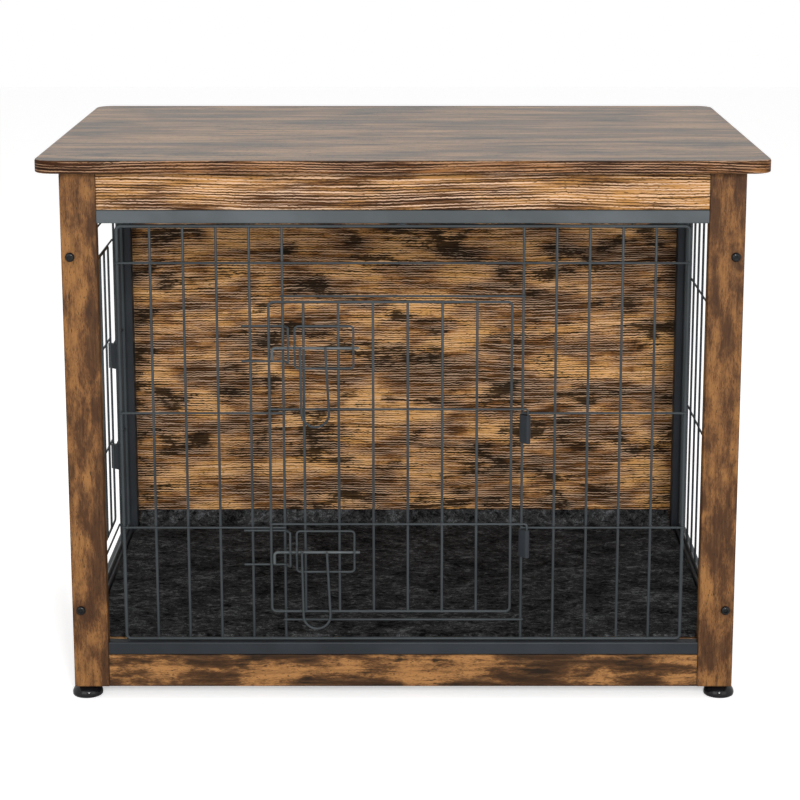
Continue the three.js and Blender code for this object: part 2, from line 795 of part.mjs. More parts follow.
for (const [side, label] of [[-1, "left"], [1, "right"]]) {
  table.add(frontStile(`front_stile_${label}`, side));
  table.add(sideRail(`${label}_top_rail`, side, FRAME.topRail, topRailBottom));
  table.add(sideRail(`${label}_bottom_rail`, side, FRAME.bottomRail, frameBottom));
  table.add(sideBar(`${label}_top_bar`, side, topBarBottom));
  table.add(sideBar(`${label}_bottom_bar`, side, bottomBarBottom));
  for (const [end, place] of [[-1, "front"], [1, "rear"]]) {
    table.add(upright(`${place}_upright_${label}`, side, end));
    table.add(levellingFoot(`foot_${place}_${label}`, side, end));
    const heights = screwHeights();
    table.add(panelScrew(`screw_${place}_${label}_upper`, side, end, heights[0]));
    table.add(panelScrew(`screw_${place}_${label}_lower`, side, end, heights[1]));
  }
}

const bearerReach = uprightSpan / 2 - FLOOR.bearer;
for (const [place, y] of [["front", -bearerReach], ["middle", 0], ["rear", bearerReach]]) {
  table.add(floorBearer(`floor_bearer_${place}`, y));
}

const frontHalf = stileInner - PANEL.endGap;
const frontWires = Math.round((frontHalf - doorwayHalf) / PANEL.pitch);
const frontWall = doorWall("front", frontHalf, 1, frontWires);
frontWall.position.y = faceY + WIRE.setback;
table.add(frontWall);

const sideHalf = uprightSpan / 2 - PANEL.sideEndGap;
const sideWires = Math.round((sideHalf - doorwayHalf) / PANEL.pitch);
const leftWall = doorWall("left", sideHalf, -1, sideWires);
leftWall.rotation.z = -Math.PI / 2;
leftWall.position.x = -(frameHalf - WIRE.setback);
table.add(leftWall);

const rightWall = new THREE.Group();
rightWall.add(plainPanel("right_wire_panel", sideHalf));
rightWall.rotation.z = Math.PI / 2;
rightWall.position.x = frameHalf - WIRE.setback;
table.add(rightWall);

table.add(feltMat());

export default table;
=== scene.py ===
"""Looks for a wooden end table that is also a dog crate.

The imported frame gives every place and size. This script gives the boards their rustic
grain and the steel its powder coat. It replaces the wire work, bolts, screws, feet and
felt mat with rounder and fuller pieces that ride on the same bodies.
"""

from __future__ import annotations

import logging
import math
from dataclasses import dataclass, field
from enum import Enum

import bpy
from mathutils import Matrix, Vector, noise

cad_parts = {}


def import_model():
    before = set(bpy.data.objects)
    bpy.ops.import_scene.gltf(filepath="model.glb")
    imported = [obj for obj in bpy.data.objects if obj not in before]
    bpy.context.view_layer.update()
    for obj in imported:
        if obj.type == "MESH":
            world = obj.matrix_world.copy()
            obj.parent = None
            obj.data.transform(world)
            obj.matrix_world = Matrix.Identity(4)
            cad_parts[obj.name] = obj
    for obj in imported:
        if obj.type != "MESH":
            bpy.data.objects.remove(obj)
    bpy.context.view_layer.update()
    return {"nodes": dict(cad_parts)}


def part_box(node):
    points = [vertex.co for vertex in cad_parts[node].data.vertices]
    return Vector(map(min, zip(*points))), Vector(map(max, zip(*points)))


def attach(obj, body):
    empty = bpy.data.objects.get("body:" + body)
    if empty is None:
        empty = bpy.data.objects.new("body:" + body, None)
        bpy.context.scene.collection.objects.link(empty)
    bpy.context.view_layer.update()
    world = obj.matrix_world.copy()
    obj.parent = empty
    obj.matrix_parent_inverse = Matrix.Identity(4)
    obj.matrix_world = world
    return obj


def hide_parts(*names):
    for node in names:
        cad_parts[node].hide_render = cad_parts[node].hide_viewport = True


log = logging.getLogger("crate_table")

Colour = tuple[float, float, float]
Socket = bpy.types.NodeSocket
SHADER_SOCKETS = {
    "base_color": "Base Color",
    "roughness": "Roughness",
    "specular": "Specular IOR Level",
}


# ---------------------------------------------------------------- materials


class Grain(Enum):
    """The way a board's grain runs, as the order of axes: along, across, through."""

    ALONG_X = "XZY"
    ALONG_X_FLAT = "XYZ"
    ALONG_Y = "YZX"
    ALONG_Z = "ZXY"


class Recipe:
    """A material's node tree, built one node at a time."""

    def __init__(self, name: str) -> None:
        """Starts an empty material with a Principled shader.

        Args:
            name: The material's name.
        """
        self.material = bpy.data.materials.new(name)
        self.material.use_nodes = True
        self.tree = self.material.node_tree
        self.tree.nodes.clear()
        self.shader = self.node("ShaderNodeBsdfPrincipled")
        output = self.node("ShaderNodeOutputMaterial")
        self.link(self.shader.outputs["BSDF"], output.inputs["Surface"])

    def node(self, kind: str, **settings: object) -> bpy.types.Node:
        """Adds a node.

        Args:
            kind: The node's type name.
            **settings: Properties to set on it.

        Returns:
            The new node.
        """
        made = self.tree.nodes.new(kind)
        for key, value in settings.items():
            setattr(made, key, value)
        return made

    def link(self, source: Socket, target: Socket) -> None:
        """Joins an output to an input."""
        self.tree.links.new(source, target)

    def feed(self, target: Socket, value: Socket | float | tuple) -> None:
        """Links a socket to an input, or sets the input to a plain value.

        Args:
            target: The input.
            value: The socket or the plain value.
        """
        if isinstance(value, bpy.types.NodeSocket):
            self.link(value, target)
        else:
            target.default_value = value

    def place(self) -> Socket:
        """Returns the place on the object, in metres."""
        return self.node("ShaderNodeTexCoord").outputs["Object"]

    def vector(self, operation: str, a: Socket, b: Socket | tuple | None = None) -> Socket:
        """Adds a vector node.

        Args:
            operation: The node's operation.
            a: The first vector.
            b: The second vector, where the operation takes one.

        Returns:
            The resulting vector.
        """
        made = self.node("ShaderNodeVectorMath", operation=operation)
        self.feed(made.inputs[0], a)
        if b is not None:
            self.feed(made.inputs[1], b)
        return made.outputs[0]

    def number(
        self,
        operation: str,
        a: Socket | float,
        b: Socket | float = 0.0,
        held: bool = True,
    ) -> Socket:
        """Adds a node that works on numbers.

        Args:
            operation: The node's operation.
            a: The first number.
            b: The second number, where the operation takes one.
            held: Whether the result is held between 0 and 1.

        Returns:
            The resulting number.
        """
        made = self.node("ShaderNodeMath", operation=operation, use_clamp=held)
        self.feed(made.inputs[0], a)
        self.feed(made.inputs[1], b)
        return made.outputs[0]

    def total(self, *parts: tuple[Socket, float]) -> Socket:
        """Adds values up by weight.

        Args:
            *parts: Each value with its weight.

        Returns:
            The sum.
        """
        shares = [self.number("MULTIPLY", value, weight) for value, weight in parts]
        whole = shares[0]
        for share in shares[1:]:
            whole = self.number("ADD", whole, share)
        return whole

    def split(self, place: Socket) -> bpy.types.NodeOutputs:
        """Takes a place apart.

        Args:
            place: The place.

        Returns:
            Its X, Y and Z.
        """
        parts = self.node("ShaderNodeSeparateXYZ")
        self.link(place, parts.inputs[0])
        return parts.outputs

    def axes(self, place: Socket, order: str) -> Socket:
        """Puts a place's axes in another order.

        Args:
            place: The place.
            order: Three letters, such as "ZXY".

        Returns:
            The place with its axes in that order.
        """
        apart = self.split(place)
        together = self.node("ShaderNodeCombineXYZ")
        for socket, letter in zip(together.inputs, order):
            self.link(apart[letter], socket)
        return together.outputs[0]

    def cloud(
        self,
        place: Socket,
        per_metre: tuple[float, float, float],
        detail: float = 2.0,
        roughness: float = 0.5,
        distortion: float = 0.0,
    ) -> Socket:
        """Adds noise with its own scale on each axis.

        Args:
            place: Where to read the noise.
            per_metre: Features per metre on each axis.
            detail: Octaves of finer noise.
            roughness: Weight of the finer noise.
            distortion: How far the noise is stirred.

        Returns:
            The noise value, from 0 to 1.
        """
        made = self.node("ShaderNodeTexNoise")
        self.link(self.vector("MULTIPLY", place, per_metre), made.inputs["Vector"])
        made.inputs["Scale"].default_value = 1.0
        made.inputs["Detail"].default_value = detail
        made.inputs["Roughness"].default_value = roughness
        made.inputs["Distortion"].default_value = distortion
        return made.outputs["Fac"]

    def bands(self, place: Socket, pitch: float, straight: float, wander: float) -> Socket:
        """Adds evenly spaced lines that run along the first axis and wander a little.

        Args:
            place: Where to read the lines.
            pitch: Distance from one line to the next, in metres.
            straight: How far a line runs before it wanders, in metres.
            wander: How far it wanders, in radians of one line's turn.

        Returns:
            The height of the lines, from 0 to 1.
        """
        made = self.node("ShaderNodeTexWave", bands_direction="Y", wave_profile="SIN")
        turns = 2.0 * math.pi / 20.0 / pitch
        stretched = self.vector("MULTIPLY", place, (1.0 / straight, turns, turns))
        self.link(stretched, made.inputs["Vector"])
        made.inputs["Scale"].default_value = 1.0
        made.inputs["Distortion"].default_value = wander
        made.inputs["Detail"].default_value = 2.0
        return made.outputs["Fac"]

    def edges(self, low: Vector, high: Vector, ragged: Socket, width: float) -> Socket:
        """Finds the edges of a board.

        Args:
            low: The board's low corner.
            high: The board's high corner.
            ragged: Noise that makes the mark uneven.
            width: How wide the mark is, in metres.

        Returns:
            The mark, 1 at an edge and 0 away from it.
        """
        centre = tuple((a + b) / 2 for a, b in zip(low, high))
        half = tuple((b - a) / 2 for a, b in zip(low, high))
        apart = self.vector("SUBTRACT", self.place(), centre)
        inward = self.vector("SUBTRACT", self.vector("ABSOLUTE", apart), half)
        inward = self.vector("MULTIPLY", inward, (-1.0, -1.0, -1.0))
        x, y, z = self.split(inward)
        nearer = self.number("MINIMUM", x, y)
        farther = self.number("MAXIMUM", x, y)
        second = self.number("MAXIMUM", nearer, self.number("MINIMUM", farther, z))
        uneven = self.number("ADD", second, self.number("MULTIPLY", ragged, width))
        return self.between(uneven, 1.3 * width, 0.5 * width)

    def between(self, value: Socket, low: float, high: float) -> Socket:
        """Stretches a value smoothly between two levels.

        Args:
            value: The value.
            low: The level that becomes 0.
            high: The level that becomes 1.

        Returns:
            The stretched value, from 0 to 1.
        """
        made = self.node("ShaderNodeMapRange", interpolation_type="SMOOTHSTEP")
        self.link(value, made.inputs["Value"])
        made.inputs["From Min"].default_value = low
        made.inputs["From Max"].default_value = high
        return made.outputs["Result"]

    def ramp(self, value: Socket, stops: list[tuple[float, Colour]]) -> Socket:
        """Turns a value into a colour.

        Args:
            value: The value, from 0 to 1.
            stops: Places from 0 to 1, each with its colour.

        Returns:
            The colour.
        """
        made = self.node("ShaderNodeValToRGB")
        elements = made.color_ramp.elements
        while len(elements) < len(stops):
            elements.new(0.5)
        for element, (place, colour) in zip(elements, stops):
            element.position = place
            element.color = (*colour, 1.0)
        self.link(value, made.inputs["Fac"])
        return made.outputs["Color"]

    def mix(self, amount: Socket | float, a: Socket | tuple, b: Socket | tuple) -> Socket:
        """Mixes two colours.

        Args:
            amount: How much of the second colour is taken, from 0 to 1.
            a: The first colour.
            b: The second colour.

        Returns:
            The mixed colour.
        """
        made = self.node("ShaderNodeMix", data_type="RGBA")
        self.feed(made.inputs[0], amount)
        for socket, value in ((made.inputs[6], a), (made.inputs[7], b)):
            self.feed(socket, value if isinstance(value, bpy.types.NodeSocket) else (*value, 1.0))
        return made.outputs[2]

    def relief(self, height: Socket, depth: float, strength: float = 1.0) -> None:
        """Gives the surface a relief.

        Args:
            height: The height, from 0 to 1.
            depth: What a height of 1 stands for, in metres.
            strength: How strongly it shows.
        """
        made = self.node("ShaderNodeBump")
        made.inputs["Strength"].default_value = strength
        made.inputs["Distance"].default_value = depth
        self.link(height, made.inputs["Height"])
        self.link(made.outputs["Normal"], self.shader.inputs["Normal"])

    def surface(self, **values: Socket | float | tuple) -> bpy.types.Material:
        """Sets the shader's sockets.

        Args:
            **values: The values, by their names in SHADER_SOCKETS.

        Returns:
            The material.
        """
        for key, value in values.items():
            self.feed(self.shader.inputs[SHADER_SOCKETS[key]], value)
        return self.material


@dataclass(frozen=True)
class RusticWood:
    """A board in a rustic brown: golden ridges, dark furrows, burnt patches and pores."""

    name: str
    grain: Grain
    offset: tuple[float, float, float] = (0.0, 0.0, 0.0)
    dark: Colour = (0.012, 0.007, 0.003)
    brown: Colour = (0.070, 0.028, 0.008)
    tan: Colour = (0.27, 0.118, 0.036)
    gold: Colour = (0.60, 0.310, 0.100)
    pale: Colour = (0.92, 0.66, 0.46)
    line_pitch: float = 0.0033
    evenness: float = 0.24
    jag: float = 0.0022
    flecks_per_metre: tuple[float, float, float] = (150.0, 620.0, 200.0)
    lines_per_metre: float = 720.0
    line_length: float = 0.045
    furrow: float = 0.92
    ridge: float = 0.42
    pores: float = 0.8
    streaks_per_metre: float = 26.0
    patch: tuple[float, float] = (0.506, 0.560)
    patch_size: tuple[float, float] = (0.072, 0.034)
    sway: float = 0.014
    knots: tuple[tuple[float, float, float, float], ...] = ()
    knot_rings: float = 24.0
    knot_ragged: float = 0.7
    knot_strength: float = 0.72
    edge: float = 0.0016
    edge_shade: float = 0.55
    banding: RusticWood | None = None
    specular: float = 0.06
    roughness: float = 0.6
    relief: float = 0.0003

    def swayed(self, recipe: Recipe) -> Socket:
        """Lays the board along its grain, with lines that wander a little.

        The place across takes in the place through, so that a board's thin edge is
        lined like its face.

        Args:
            recipe: The material's recipe.

        Returns:
            The place on the board: along, across and through.
        """
        board = recipe.vector("ADD", recipe.axes(recipe.place(), self.grain.value), self.offset)
        shift = recipe.node("ShaderNodeCombineXYZ")
        recipe.link(recipe.split(board)["Z"], shift.inputs["Y"])
        whole = recipe.vector("ADD", board, shift.outputs[0])
        return self.shifted(recipe, whole, (4.0, 9.0, 9.0), self.sway)

    def wrapped(self, recipe: Recipe) -> Socket:
        """Lays a strip around the board's edge, with its lines level.

        Args:
            recipe: The material's recipe.

        Returns:
            The place on the strip: around, up and through.
        """
        parts = recipe.split(recipe.place())
        around = recipe.number("ADD", parts["X"], parts["Y"], held=False)
        strip = recipe.node("ShaderNodeCombineXYZ")
        recipe.link(around, strip.inputs["X"])
        recipe.link(parts["Z"], strip.inputs["Y"])
        place = recipe.vector("ADD", strip.outputs[0], self.offset)
        return self.shifted(recipe, place, (4.0, 9.0, 9.0), self.sway)

    def shifted(self, recipe: Recipe, board: Socket, per_metre: Vector, reach: float) -> Socket:
        """Shifts a place across the grain by a noise.

        Args:
            recipe: The material's recipe.
            board: The place on the board.
            per_metre: The noise's cells in a metre along, across and through.
            reach: How far it shifts, in metres.

        Returns:
            The shifted place.
        """
        wander = recipe.cloud(board, per_metre, detail=1.0)
        shift = recipe.node("ShaderNodeCombineXYZ")
        recipe.link(recipe.number("MULTIPLY", wander, reach), shift.inputs["Y"])
        return recipe.vector("ADD", board, shift.outputs[0])

    def knotted(
        self,
        recipe: Recipe,
        board: Socket,
        knot: tuple[float, float, float, float],
        fibres: Socket,
        colour: Socket,
    ) -> Socket:
        """Draws a ringed knot over a colour.

        Args:
            recipe: The material's recipe.
            board: The place on the board.
            knot: Where the knot is along and across, then its half length and half width.
            fibres: Fine noise that breaks the rings.
            colour: The colour under the knot.

        Returns:
            The colour with the knot.
        """
        along, across, length, width = knot
        centre = (along + self.offset[0], across + self.offset[1] + self.sway / 2, 0.0)
        apart = recipe.vector("SUBTRACT", board, centre)
        apart = recipe.vector("MULTIPLY", apart, (1.0 / length, 1.0 / width, 0.0))
        far = recipe.node("ShaderNodeVectorMath", operation="LENGTH")
        recipe.link(apart, far.inputs[0])
        ragged = recipe.number("MULTIPLY", fibres, self.knot_ragged, held=False)
        reach = recipe.number("ADD", ragged, far.outputs["Value"], held=False)
        turns = recipe.number("MULTIPLY", reach, self.knot_rings, held=False)
        rings = recipe.between(recipe.number("SINE", turns, held=False), -0.9, 0.9)
        ringed = recipe.mix(rings, self.dark, self.tan)
        inside = recipe.number("MULTIPLY", recipe.between(reach, 1.35, 1.0), self.knot_strength)
        return recipe.mix(inside, colour, ringed)

    def paint(self, recipe: Recipe, board: Socket) -> tuple[Socket, Socket, Socket]:
        """Mixes the print's colour.

        Args:
            recipe: The material's recipe.
            board: The place on the board.

        Returns:
            The colour, and the heights of the lines and of the fibres.
        """
        along = 1.0 / self.line_length
        across = self.lines_per_metre
        jagged = self.shifted(recipe, board, (190.0, 110.0, 110.0), self.jag)
        even = recipe.bands(jagged, self.line_pitch, 0.14, 5.0)
        uneven = recipe.cloud(jagged, (along, across, 60.0), 2.0, 0.55)
        lines = recipe.total((uneven, 1.0 - self.evenness), (even, self.evenness))
        fibres = recipe.cloud(board, self.flecks_per_metre, 2.0, 0.6)
        streaks = recipe.cloud(board, (7.0, self.streaks_per_metre, 40.0), 3.0, 0.6)
        long, wide = self.patch_size
        clouds = recipe.cloud(board, (0.7 / long, 0.9 / wide, 9.0), 3.0, 0.6, 0.3)
        patches = recipe.cloud(board, (1.0 / long, 1.0 / wide, 12.0), 4.0, 0.6, 0.4)

        tone = recipe.total((clouds, 0.45), (streaks, 0.35), (fibres, 0.20))
        stops = [(0.0, self.brown), (0.5, self.tan), (1.0, self.gold)]
        colour = recipe.ramp(recipe.between(tone, 0.43, 0.57), stops)
        ridges = recipe.number("MULTIPLY", recipe.between(lines, 0.52, 0.66), self.ridge)
        colour = recipe.mix(ridges, colour, self.pale)
        furrows = recipe.number("MULTIPLY", recipe.between(lines, 0.465, 0.38), self.furrow)
        colour = recipe.mix(furrows, colour, tuple(0.32 * part for part in self.brown))
        sunk = recipe.number("SUBTRACT", 1.0, lines)
        edged = recipe.total((patches, 0.60), (fibres, 0.14), (sunk, 0.26))
        burnt = recipe.number("MULTIPLY", recipe.between(edged, *self.patch), 0.92)
        colour = recipe.mix(burnt, colour, self.dark)
        for knot in self.knots:
            colour = self.knotted(recipe, board, knot, fibres, colour)
        pores = recipe.number("MULTIPLY", recipe.between(fibres, 0.57, 0.68), self.pores)
        return recipe.mix(pores, colour, self.dark), lines, fibres

    def material(self, low: Vector, high: Vector) -> bpy.types.Material:
        """Builds the board's material.

        Args:
            low: The board's low corner.
            high: The board's high corner.

        Returns:
            The material.
        """
        recipe = Recipe(self.name)
        colour, lines, fibres = self.paint(recipe, self.swayed(recipe))
        specular = self.specular
        if self.banding:
            strip = self.banding.paint(recipe, self.banding.wrapped(recipe))[0]
            facing = recipe.split(recipe.node("ShaderNodeNewGeometry").outputs["Normal"])
            flat = recipe.between(recipe.number("ABSOLUTE", facing["Z"]), 0.5, 0.8)
            colour = recipe.mix(flat, strip, colour)
            shine = recipe.number("MULTIPLY", flat, self.specular - self.banding.specular)
            specular = recipe.number("ADD", shine, self.banding.specular)
        rim = recipe.edges(low, high, fibres, self.edge)
        colour = recipe.mix(recipe.number("MULTIPLY", rim, self.edge_shade), colour, self.dark)
        recipe.relief(recipe.total((lines, 0.7), (fibres, 0.3)), self.relief)
        gloss = recipe.number("ADD", self.roughness - 0.12, recipe.total((lines, 0.25)))
        return recipe.surface(base_color=colour, roughness=gloss, specular=specular)


@dataclass(frozen=True)
class PowderCoat:
    """Satin powder coat on steel, with the fine orange peel that such a coat has."""

    name: str
    colour: Colour = (0.029, 0.035, 0.038)
    roughness: float = 0.42
    specular: float = 0.2
    peel_per_metre: float = 900.0

    def material(self) -> bpy.types.Material:
        """Builds the coat's material.

        Returns:
            The material.
        """
        recipe = Recipe(self.name)
        place = recipe.place()
        peel = recipe.cloud(place, (self.peel_per_metre,) * 3, 2.0, 0.5)
        drift = recipe.cloud(place, (9.0, 9.0, 9.0), 3.0, 0.6)
        light = tuple(min(1.0, 1.22 * part) for part in self.colour)
        deep = tuple(0.80 * part for part in self.colour)
        colour = recipe.mix(recipe.between(drift, 0.3, 0.7), deep, light)
        gloss = recipe.number("ADD", self.roughness - 0.06, recipe.number("MULTIPLY", drift, 0.14))
        recipe.relief(peel, 0.00004, 0.5)
        return recipe.surface(base_color=colour, roughness=gloss, specular=self.specular)


@dataclass(frozen=True)
class Moulding:
    """Black moulded plastic or black oxide, with faint scuffs in its gloss."""

    name: str
    colour: Colour = (0.006, 0.006, 0.007)
    roughness: float = 0.2
    specular: float = 0.5

    def material(self) -> bpy.types.Material:
        """Builds the moulding's material.

        Returns:
            The material.
        """
        recipe = Recipe(self.name)
        place = recipe.place()
        scuffs = recipe.cloud(place, (140.0, 140.0, 60.0), 4.0, 0.65)
        dust = recipe.between(scuffs, 0.55, 0.8)
        pale = tuple(part + 0.006 for part in self.colour)
        colour = recipe.mix(dust, self.colour, pale)
        gloss = recipe.number("ADD", self.roughness, recipe.number("MULTIPLY", dust, 0.25))
        recipe.relief(scuffs, 0.00003, 0.4)
        return recipe.surface(base_color=colour, roughness=gloss, specular=self.specular)


@dataclass(frozen=True)
class Felt:
    """Charcoal needle felt: matted fibres in greys and black."""

    name: str
    black: Colour = (0.003, 0.003, 0.0033)
    grey: Colour = (0.036, 0.036, 0.037)
    ash: Colour = (0.13, 0.135, 0.14)

    def material(self) -> bpy.types.Material:
        """Builds the felt's material.

        Returns:
            The material.
        """
        recipe = Recipe(self.name)
        place = recipe.place()
        matted = recipe.cloud(place, (85.0, 120.0, 90.0), 5.0, 0.7, 1.2)
        strands = recipe.cloud(place, (260.0, 620.0, 400.0), 4.0, 0.7, 2.2)
        clumps = recipe.cloud(place, (22.0, 30.0, 25.0), 3.0, 0.6, 0.5)
        tone = recipe.total((matted, 0.42), (strands, 0.38), (clumps, 0.20))
        stops = [(0.0, self.black), (0.5, self.grey), (0.75, self.grey), (1.0, self.ash)]
        colour = recipe.ramp(recipe.between(tone, 0.41, 0.60), stops)
        recipe.relief(recipe.total((matted, 0.5), (strands, 0.5)), 0.0016)
        return recipe.surface(base_color=colour, roughness=0.95, specular=0.0)


# ---------------------------------------------------------------- workbench


class Bench:
    """The steps of modelling that every piece uses."""

    @staticmethod
    def clear() -> None:
        """Leaves edit mode and deselects everything."""
        if bpy.context.object and bpy.context.object.mode != "OBJECT":
            bpy.ops.object.mode_set(mode="OBJECT")
        bpy.ops.object.select_all(action="DESELECT")

    @staticmethod
    def pick(*pieces: bpy.types.Object) -> None:
        """Selects only these pieces and makes the first one active.

        Args:
            *pieces: The pieces.
        """
        Bench.clear()
        for piece in pieces:
            piece.select_set(True)
        bpy.context.view_layer.objects.active = pieces[0]

    @staticmethod
    def settle(piece: bpy.types.Object) -> None:
        """Applies a piece's place, turn and scale to its mesh."""
        Bench.pick(piece)
        bpy.ops.object.transform_apply(location=True, rotation=True, scale=True)

    @staticmethod
    def face_outward(piece: bpy.types.Object) -> None:
        """Turns every face of a closed piece to the outside.

        Args:
            piece: The piece.
        """
        Bench.pick(piece)
        bpy.ops.object.mode_set(mode="EDIT")
        bpy.ops.mesh.select_all(action="SELECT")
        bpy.ops.mesh.normals_make_consistent(inside=False)
        bpy.ops.object.mode_set(mode="OBJECT")

    @staticmethod
    def apply(piece: bpy.types.Object, kind: str, **settings: object) -> None:
        """Adds a modifier and applies it.

        Args:
            piece: The piece.
            kind: The modifier's type name.
            **settings: Properties to set on the modifier.
        """
        Bench.pick(piece)
        made = piece.modifiers.new(kind.title(), kind)
        for key, value in settings.items():
            setattr(made, key, value)
        bpy.ops.object.modifier_apply(modifier=made.name)

    @staticmethod
    def join(name: str, pieces: list[bpy.types.Object]) -> bpy.types.Object:
        """Joins meshes into one piece.

        Args:
            name: The joined piece's name.
            pieces: The meshes.

        Returns:
            The joined piece.
        """
        Bench.pick(*pieces)
        if len(pieces) > 1:
            bpy.ops.object.join()
        whole = bpy.context.view_layer.objects.active
        whole.name = name
        whole.data.name = name
        return whole

    @staticmethod
    def smooth(piece: bpy.types.Object, degrees: float = 40.0) -> None:
        """Shades a piece smooth except at edges sharper than an angle."""
        Bench.pick(piece)
        bpy.ops.object.shade_smooth_by_angle(angle=math.radians(degrees))

    @staticmethod
    def copy(piece: bpy.types.Object, name: str) -> bpy.types.Object:
        """Copies a piece with a mesh of its own.

        Args:
            piece: The piece to copy.
            name: The copy's name.

        Returns:
            The copy.
        """
        Bench.pick(piece)
        bpy.ops.object.duplicate(linked=False)
        made = bpy.context.view_layer.objects.active
        made.name = name
        made.data.name = name
        return made

    @staticmethod
    def dress(piece: bpy.types.Object, finish: bpy.types.Material) -> None:
        """Gives a piece one material all over."""
        piece.data.materials.clear()
        piece.data.materials.append(finish)


@dataclass
class Turning:
    """A round piece made by pulling a disc up through a list of rings."""

    name: str
    rings: list[tuple[float, float]]
    sides: int = 48

    def build(self) -> bpy.types.Object:
        """Builds the piece round the Z axis.

        Returns:
            The piece, closed at both ends.
        """
        radius, low = self.rings[0]
        Bench.clear()
        bpy.ops.mesh.primitive_circle_add(
            vertices=self.sides, radius=radius, fill_type="NGON", location=(0, 0, low)
        )
        piece = bpy.context.object
        piece.name = self.name
        Bench.settle(piece)
        bpy.ops.object.mode_set(mode="EDIT")
        bpy.ops.mesh.select_all(action="SELECT")
        for ring, height in self.rings[1:]:
            lift = (0.0, 0.0, height - low)
            bpy.ops.mesh.extrude_region_move(TRANSFORM_OT_translate={"value": lift})
            scale = (ring / radius, ring / radius, 1.0)
            bpy.ops.transform.resize(value=scale, center_override=(0.0, 0.0, height))
            radius, low = ring, height
        Bench.face_outward(piece)
        return piece


@dataclass
class Wirework:
    """Rods, bent wires and weld beads that are joined into one piece."""

    name: str
    sides: int = 12
    parts: list[bpy.types.Object] = field(default_factory=list)

    def rod(self, start: Vector, end: Vector, radius: float) -> None:
        """Adds a straight wire with softened ends.

        Args:
            start: Centre of one end.
            end: Centre of the other end.
            radius: The wire's radius.
        """
        run = end - start
        Bench.clear()
        bpy.ops.mesh.primitive_cylinder_add(
            vertices=self.sides,
            radius=radius,
            depth=run.length,
            location=(start + end) / 2,
            rotation=run.to_track_quat("Z", "Y").to_euler(),
        )
        wire = bpy.context.object
        Bench.settle(wire)
        limits = {"limit_method": "ANGLE", "angle_limit": math.radians(60)}
        Bench.apply(wire, "BEVEL", width=radius * 0.35, segments=2, **limits)
        self.parts.append(wire)

    def bent(
        self,
        corners: list[Vector],
        radius: float,
        bend: float | list[float],
        closed: bool = False,
    ) -> None:
        """Adds a wire bent through corner points.

        Args:
            corners: The points where the straight runs would meet.
            radius: The wire's radius.
            bend: Radius of the bends, to the wire's centre, or one radius for each corner.
            closed: Whether the wire is a loop.
        """
        bends = bend if isinstance(bend, list) else [bend] * len(corners)
        points = self.rounded(corners, bends, closed)
        Bench.clear()
        bpy.ops.curve.primitive_nurbs_path_add(location=(0, 0, 0))
        wire = bpy.context.object
        wire.data.splines.clear()
        spline = wire.data.splines.new("POLY")
        spline.points.add(len(points) - 1)
        for spot, point in zip(spline.points, points):
            spot.co = (*point, 1.0)
        spline.use_cyclic_u = closed
        wire.data.bevel_depth = radius
        wire.data.bevel_resolution = (self.sides - 4) // 2
        wire.data.use_fill_caps = not closed
        bpy.ops.object.convert(target="MESH")
        self.parts.append(bpy.context.object)

    def weld(self, place: Vector, radius: float) -> None:
        """Adds the small bead of metal where two wires are welded.

        Args:
            place: The bead's centre.
            radius: The bead's radius.
        """
        Bench.clear()
        bpy.ops.mesh.primitive_uv_sphere_add(segments=8, ring_count=5, radius=radius, location=place)
        bead = bpy.context.object
        Bench.settle(bead)
        self.parts.append(bead)

    def plate(self, centre: Vector, size: tuple[float, float, float]) -> None:
        """Adds a small flat tab with rounded edges.

        Args:
            centre: The tab's centre.
            size: The tab's width, depth and height.
        """
        Bench.clear()
        bpy.ops.mesh.primitive_cube_add(size=1.0, location=centre)
        tab = bpy.context.object
        tab.scale = size
        Bench.settle(tab)
        Bench.apply(tab, "BEVEL", width=min(size) * 0.25, segments=2)
        self.parts.append(tab)

    def build(self) -> bpy.types.Object:
        """Joins the parts into one smooth-shaded piece.

        Returns:
            The piece.
        """
        piece = Bench.join(self.name, self.parts)
        Bench.settle(piece)
        Bench.smooth(piece, 50.0)
        return piece

    @staticmethod
    def rounded(corners: list[Vector], bends: list[float], closed: bool) -> list[Vector]:
        """Rounds the corners of a bent wire.

        Args:
            corners: The corner points.
            bends: Radius of the bend at each corner.
            closed: Whether the last point joins the first.

        Returns:
            The points of the wire's centre.
        """
        count = len(corners)
        points: list[Vector] = []
        for i, corner in enumerate(corners):
            if not closed and i in (0, count - 1):
                points.append(corner.copy())
                continue
            into = (corner - corners[i - 1]).normalized()
            out = (corners[(i + 1) % count] - corner).normalized()
            turn = into.angle(out)
            steps = max(2, round(turn / math.radians(15)))
            bend = bends[i]
            start = corner - into * bend * math.tan(turn / 2)
            inward = (out - into * out.dot(into)).normalized()
            for k in range(steps + 1):
                angle = turn * k / steps
                reach = into * bend * math.sin(angle)
                points.append(start + reach + inward * bend * (1 - math.cos(angle)))
        return points


# ---------------------------------------------------------------- wire walls and doors


